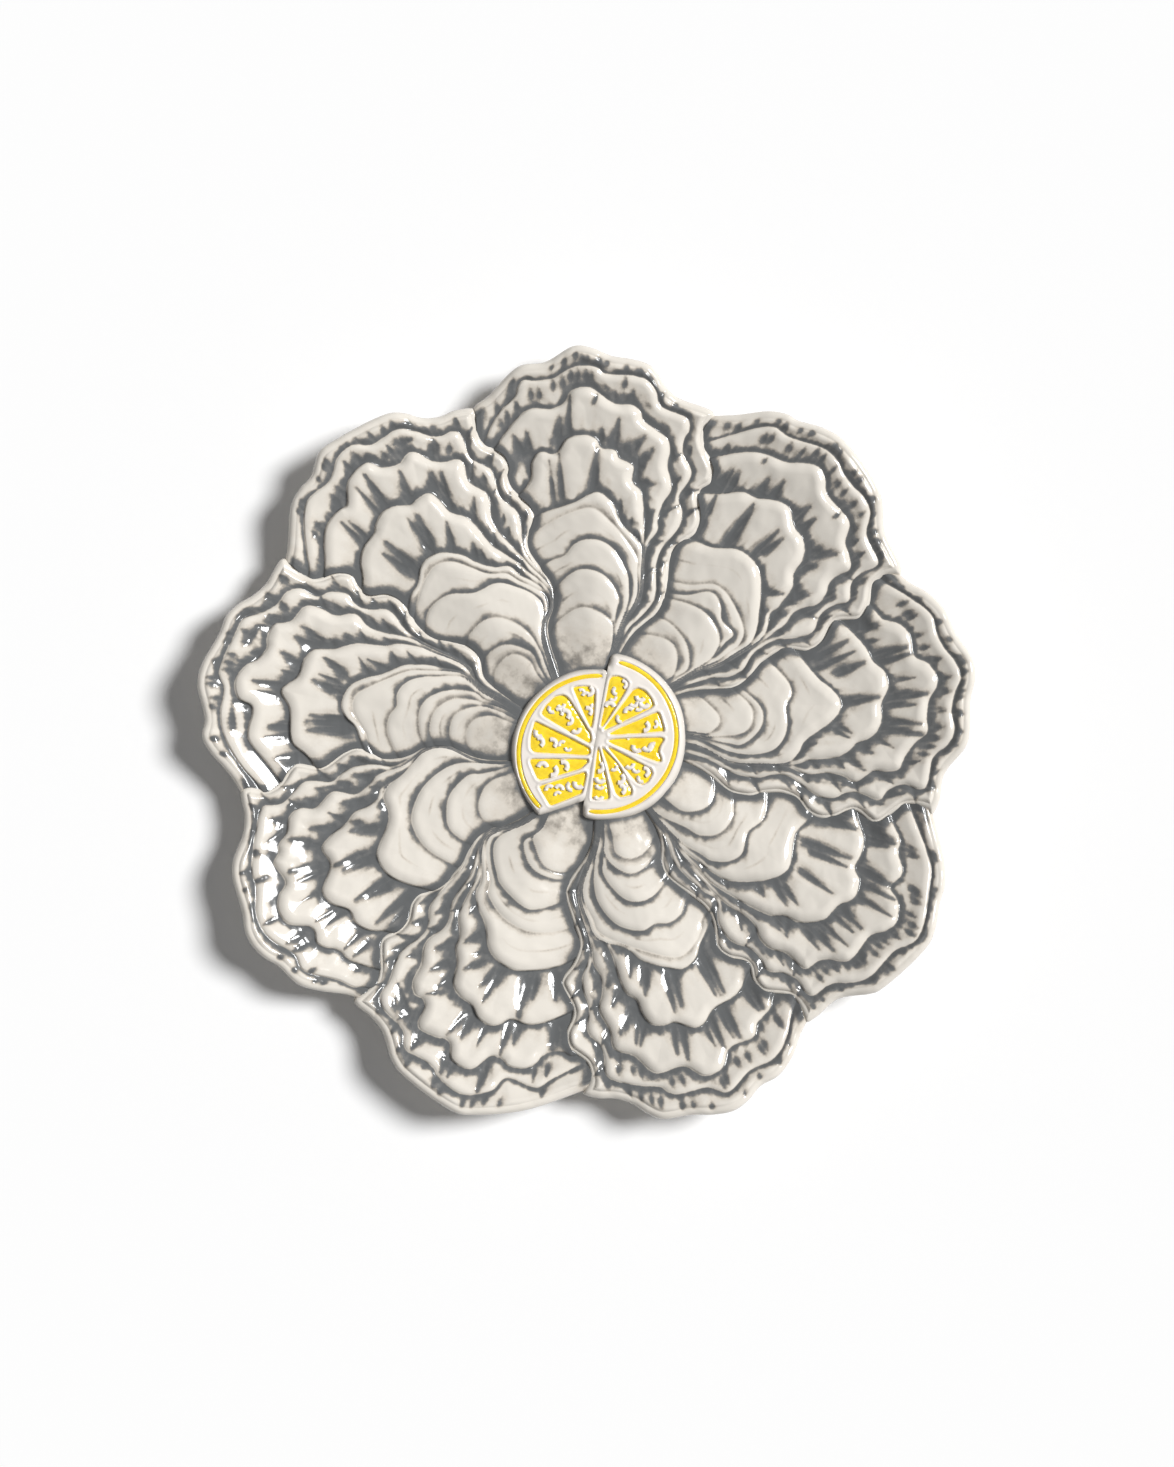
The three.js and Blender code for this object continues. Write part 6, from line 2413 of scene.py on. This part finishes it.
LEFT_OUTLINE = (
    (6.2, 24.4), (2.5, 25.0), (-4.3, 24.4), (-10.6, 22.0), (-16.9, 17.6), (-22.3, 11.4), (-25.9, 3.6),
    (-27.0, -4.9), (-25.6, -13.0), (-22.0, -20.4), (-18.4, -25.6), (-17.4, -26.6), (-15.8, -26.3),
    (-9.0, -24.1), (-1.8, -21.4), (-0.2, -20.6), (1.2, -12.2), (2.9, -2.2), (4.6, 7.8), (6.2, 17.8),
    (7.0, 22.8),
)
RIGHT_OUTLINE = (
    (9.3, 30.3), (12.3, 30.0), (17.1, 28.2), (23.5, 24.3), (28.3, 19.3), (32.2, 12.6), (34.1, 5.0),
    (34.1, -3.4), (32.1, -11.2), (28.0, -18.0), (22.4, -23.3), (15.4, -26.7), (7.6, -28.1), (1.4, -28.1),
    (-1.4, -27.0), (-1.9, -25.4), (0.0, -14.0), (1.9, -3.0), (3.8, 8.0), (5.7, 19.0), (7.4, 27.6),
    (8.2, 29.7),
)


# Studio


@dataclass
class Studio:
    """Camera straight above, broad light from the upper right, and a white floor that keeps the shadow."""

    view_centre: Point = (-0.67, -0.56)
    view_height: float = 514.3
    lens: float = 85.0
    sensor: float = 36.0
    far: float = 20.0
    rim_height: float = 16.0
    key_bearing: float = 70.0
    key_elevation: float = 48.5
    key_spread: float = 19.0
    key_strength: float = 3.67
    fill: float = 0.15
    floor_white: float = 0.94
    floor_lift: float = 0.05
    floor_half: float = 6000.0
    floor_drop: float = 0.2

    def add_camera(self) -> None:
        """Adds the camera, whose longer side spans the photograph's height."""
        data = bpy.data.cameras.new("camera")
        data.lens = self.lens
        data.sensor_width = self.sensor
        data.sensor_fit = "AUTO"
        data.clip_end = self.far
        distance = self.lens / self.sensor * self.view_height + self.rim_height
        camera = bpy.data.objects.new("camera", data)
        camera.location = (self.view_centre[0] * METRES, self.view_centre[1] * METRES, distance * METRES)
        bpy.context.scene.collection.objects.link(camera)
        bpy.context.scene.camera = camera

    def add_key(self) -> None:
        """Adds the main light."""
        data = bpy.data.lights.new("key", "SUN")
        data.angle = math.radians(self.key_spread)
        data.energy = self.key_strength
        light = bpy.data.objects.new("key", data)
        turn = math.radians(self.key_bearing)
        rise = math.radians(self.key_elevation)
        direction = Vector(
            (math.sin(turn) * math.cos(rise), math.cos(turn) * math.cos(rise), math.sin(rise))
        )
        light.location = direction
        light.rotation_euler = direction.to_track_quat("Z", "Y").to_euler()
        bpy.context.scene.collection.objects.link(light)

    def add_floor(self) -> None:
        """Adds the floor, which a little glow keeps white in the picture."""
        half, level = self.floor_half, -self.floor_drop
        corners = [[-half, -half, level], [half, -half, level], [half, half, level], [-half, half, level]]
        surface = Surface()
        surface.add_flat(surface.add_points(np.array(corners)))
        floor = bpy.data.objects.new("floor", surface.mesh("floor"))
        bpy.context.scene.collection.objects.link(floor)
        desk = MaterialDesk("floor")
        rays = desk.node("ShaderNodeLightPath")
        seen = Wire(desk, rays.outputs["Is Camera Ray"])
        white = (self.floor_white, self.floor_white, self.floor_white, 1.0)
        paint = desk.wire("ShaderNodeBsdfDiffuse", {}, {"Color": white})
        glow = desk.wire("ShaderNodeEmission", {}, {"Strength": seen * self.floor_lift})
        both = desk.wire("ShaderNodeAddShader", {}, {0: paint, 1: glow})
        desk.node("ShaderNodeOutputMaterial", {}, {"Surface": both})
        floor.data.materials.append(desk.material)

    def add_world(self) -> None:
        """Adds the fill light, and the white that the camera and the gloss see."""
        world = bpy.data.worlds.new("studio")
        bpy.context.scene.world = world
        world.use_nodes = True
        desk = NodeDesk(world.node_tree)
        rays = desk.node("ShaderNodeLightPath")
        names = ("Is Camera Ray", "Is Glossy Ray", "Is Transmission Ray")
        camera, glossy, through = (Wire(desk, rays.outputs[name]) for name in names)
        seen = camera + glossy + through
        background = desk.wire("ShaderNodeBackground", {}, {"Strength": self.fill + seen * (1.0 - self.fill)})
        desk.node("ShaderNodeOutputWorld", {}, {"Surface": background})

    def build(self) -> None:
        """Adds everything, and sets the plain view transform."""
        self.add_camera()
        self.add_key()
        self.add_floor()
        self.add_world()
        bpy.context.scene.view_settings.view_transform = "Standard"


def main() -> None:
    """Builds the plate and its studio."""
    logging.basicConfig(level=logging.INFO, format="%(message)s")
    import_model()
    low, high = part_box("foot_ring")
    centre = (float(low.x + high.x) * 0.5 / METRES, float(low.y + high.y) * 0.5 / METRES)
    dish = Dish()
    shell_glaze = ShellGlaze().material()
    for index, form in enumerate(SHELL_FORMS):
        OysterShell(index + 1, form, SHELL_FORMS[index - 1], dish, centre).build(shell_glaze)
    PlateBody(dish, SHELL_FORMS, centre).build(BodyGlaze().material())
    FootRing(centre).build(BareClay().material())
    pith, yellow = LemonPith().material(), LemonYellow().material()
    left = LemonSlice(
        "lemon_half_left",
        LEFT_OUTLINE,
        kernel=(-8.0, -3.0),
        centre=(3.0, -4.9),
        rind_radius=27.4,
        rind_angles=(226.0, 364.5),
        segments=LEFT_SEGMENTS,
        origin=centre,
        neighbour=RIGHT_OUTLINE,
    )
    right = LemonSlice(
        "lemon_half_right",
        RIGHT_OUTLINE,
        kernel=(14.0, 0.0),
        centre=(4.3, 1.4),
        rind_radius=26.7,
        rind_angles=(13.5, 189.0),
        segments=RIGHT_SEGMENTS,
        origin=centre,
        neighbour=LEFT_OUTLINE,
        top=14.5,
    )
    left.build(pith, yellow)
    right.build(pith, yellow)
    Studio().build()


if __name__ == "__main__":
    main()
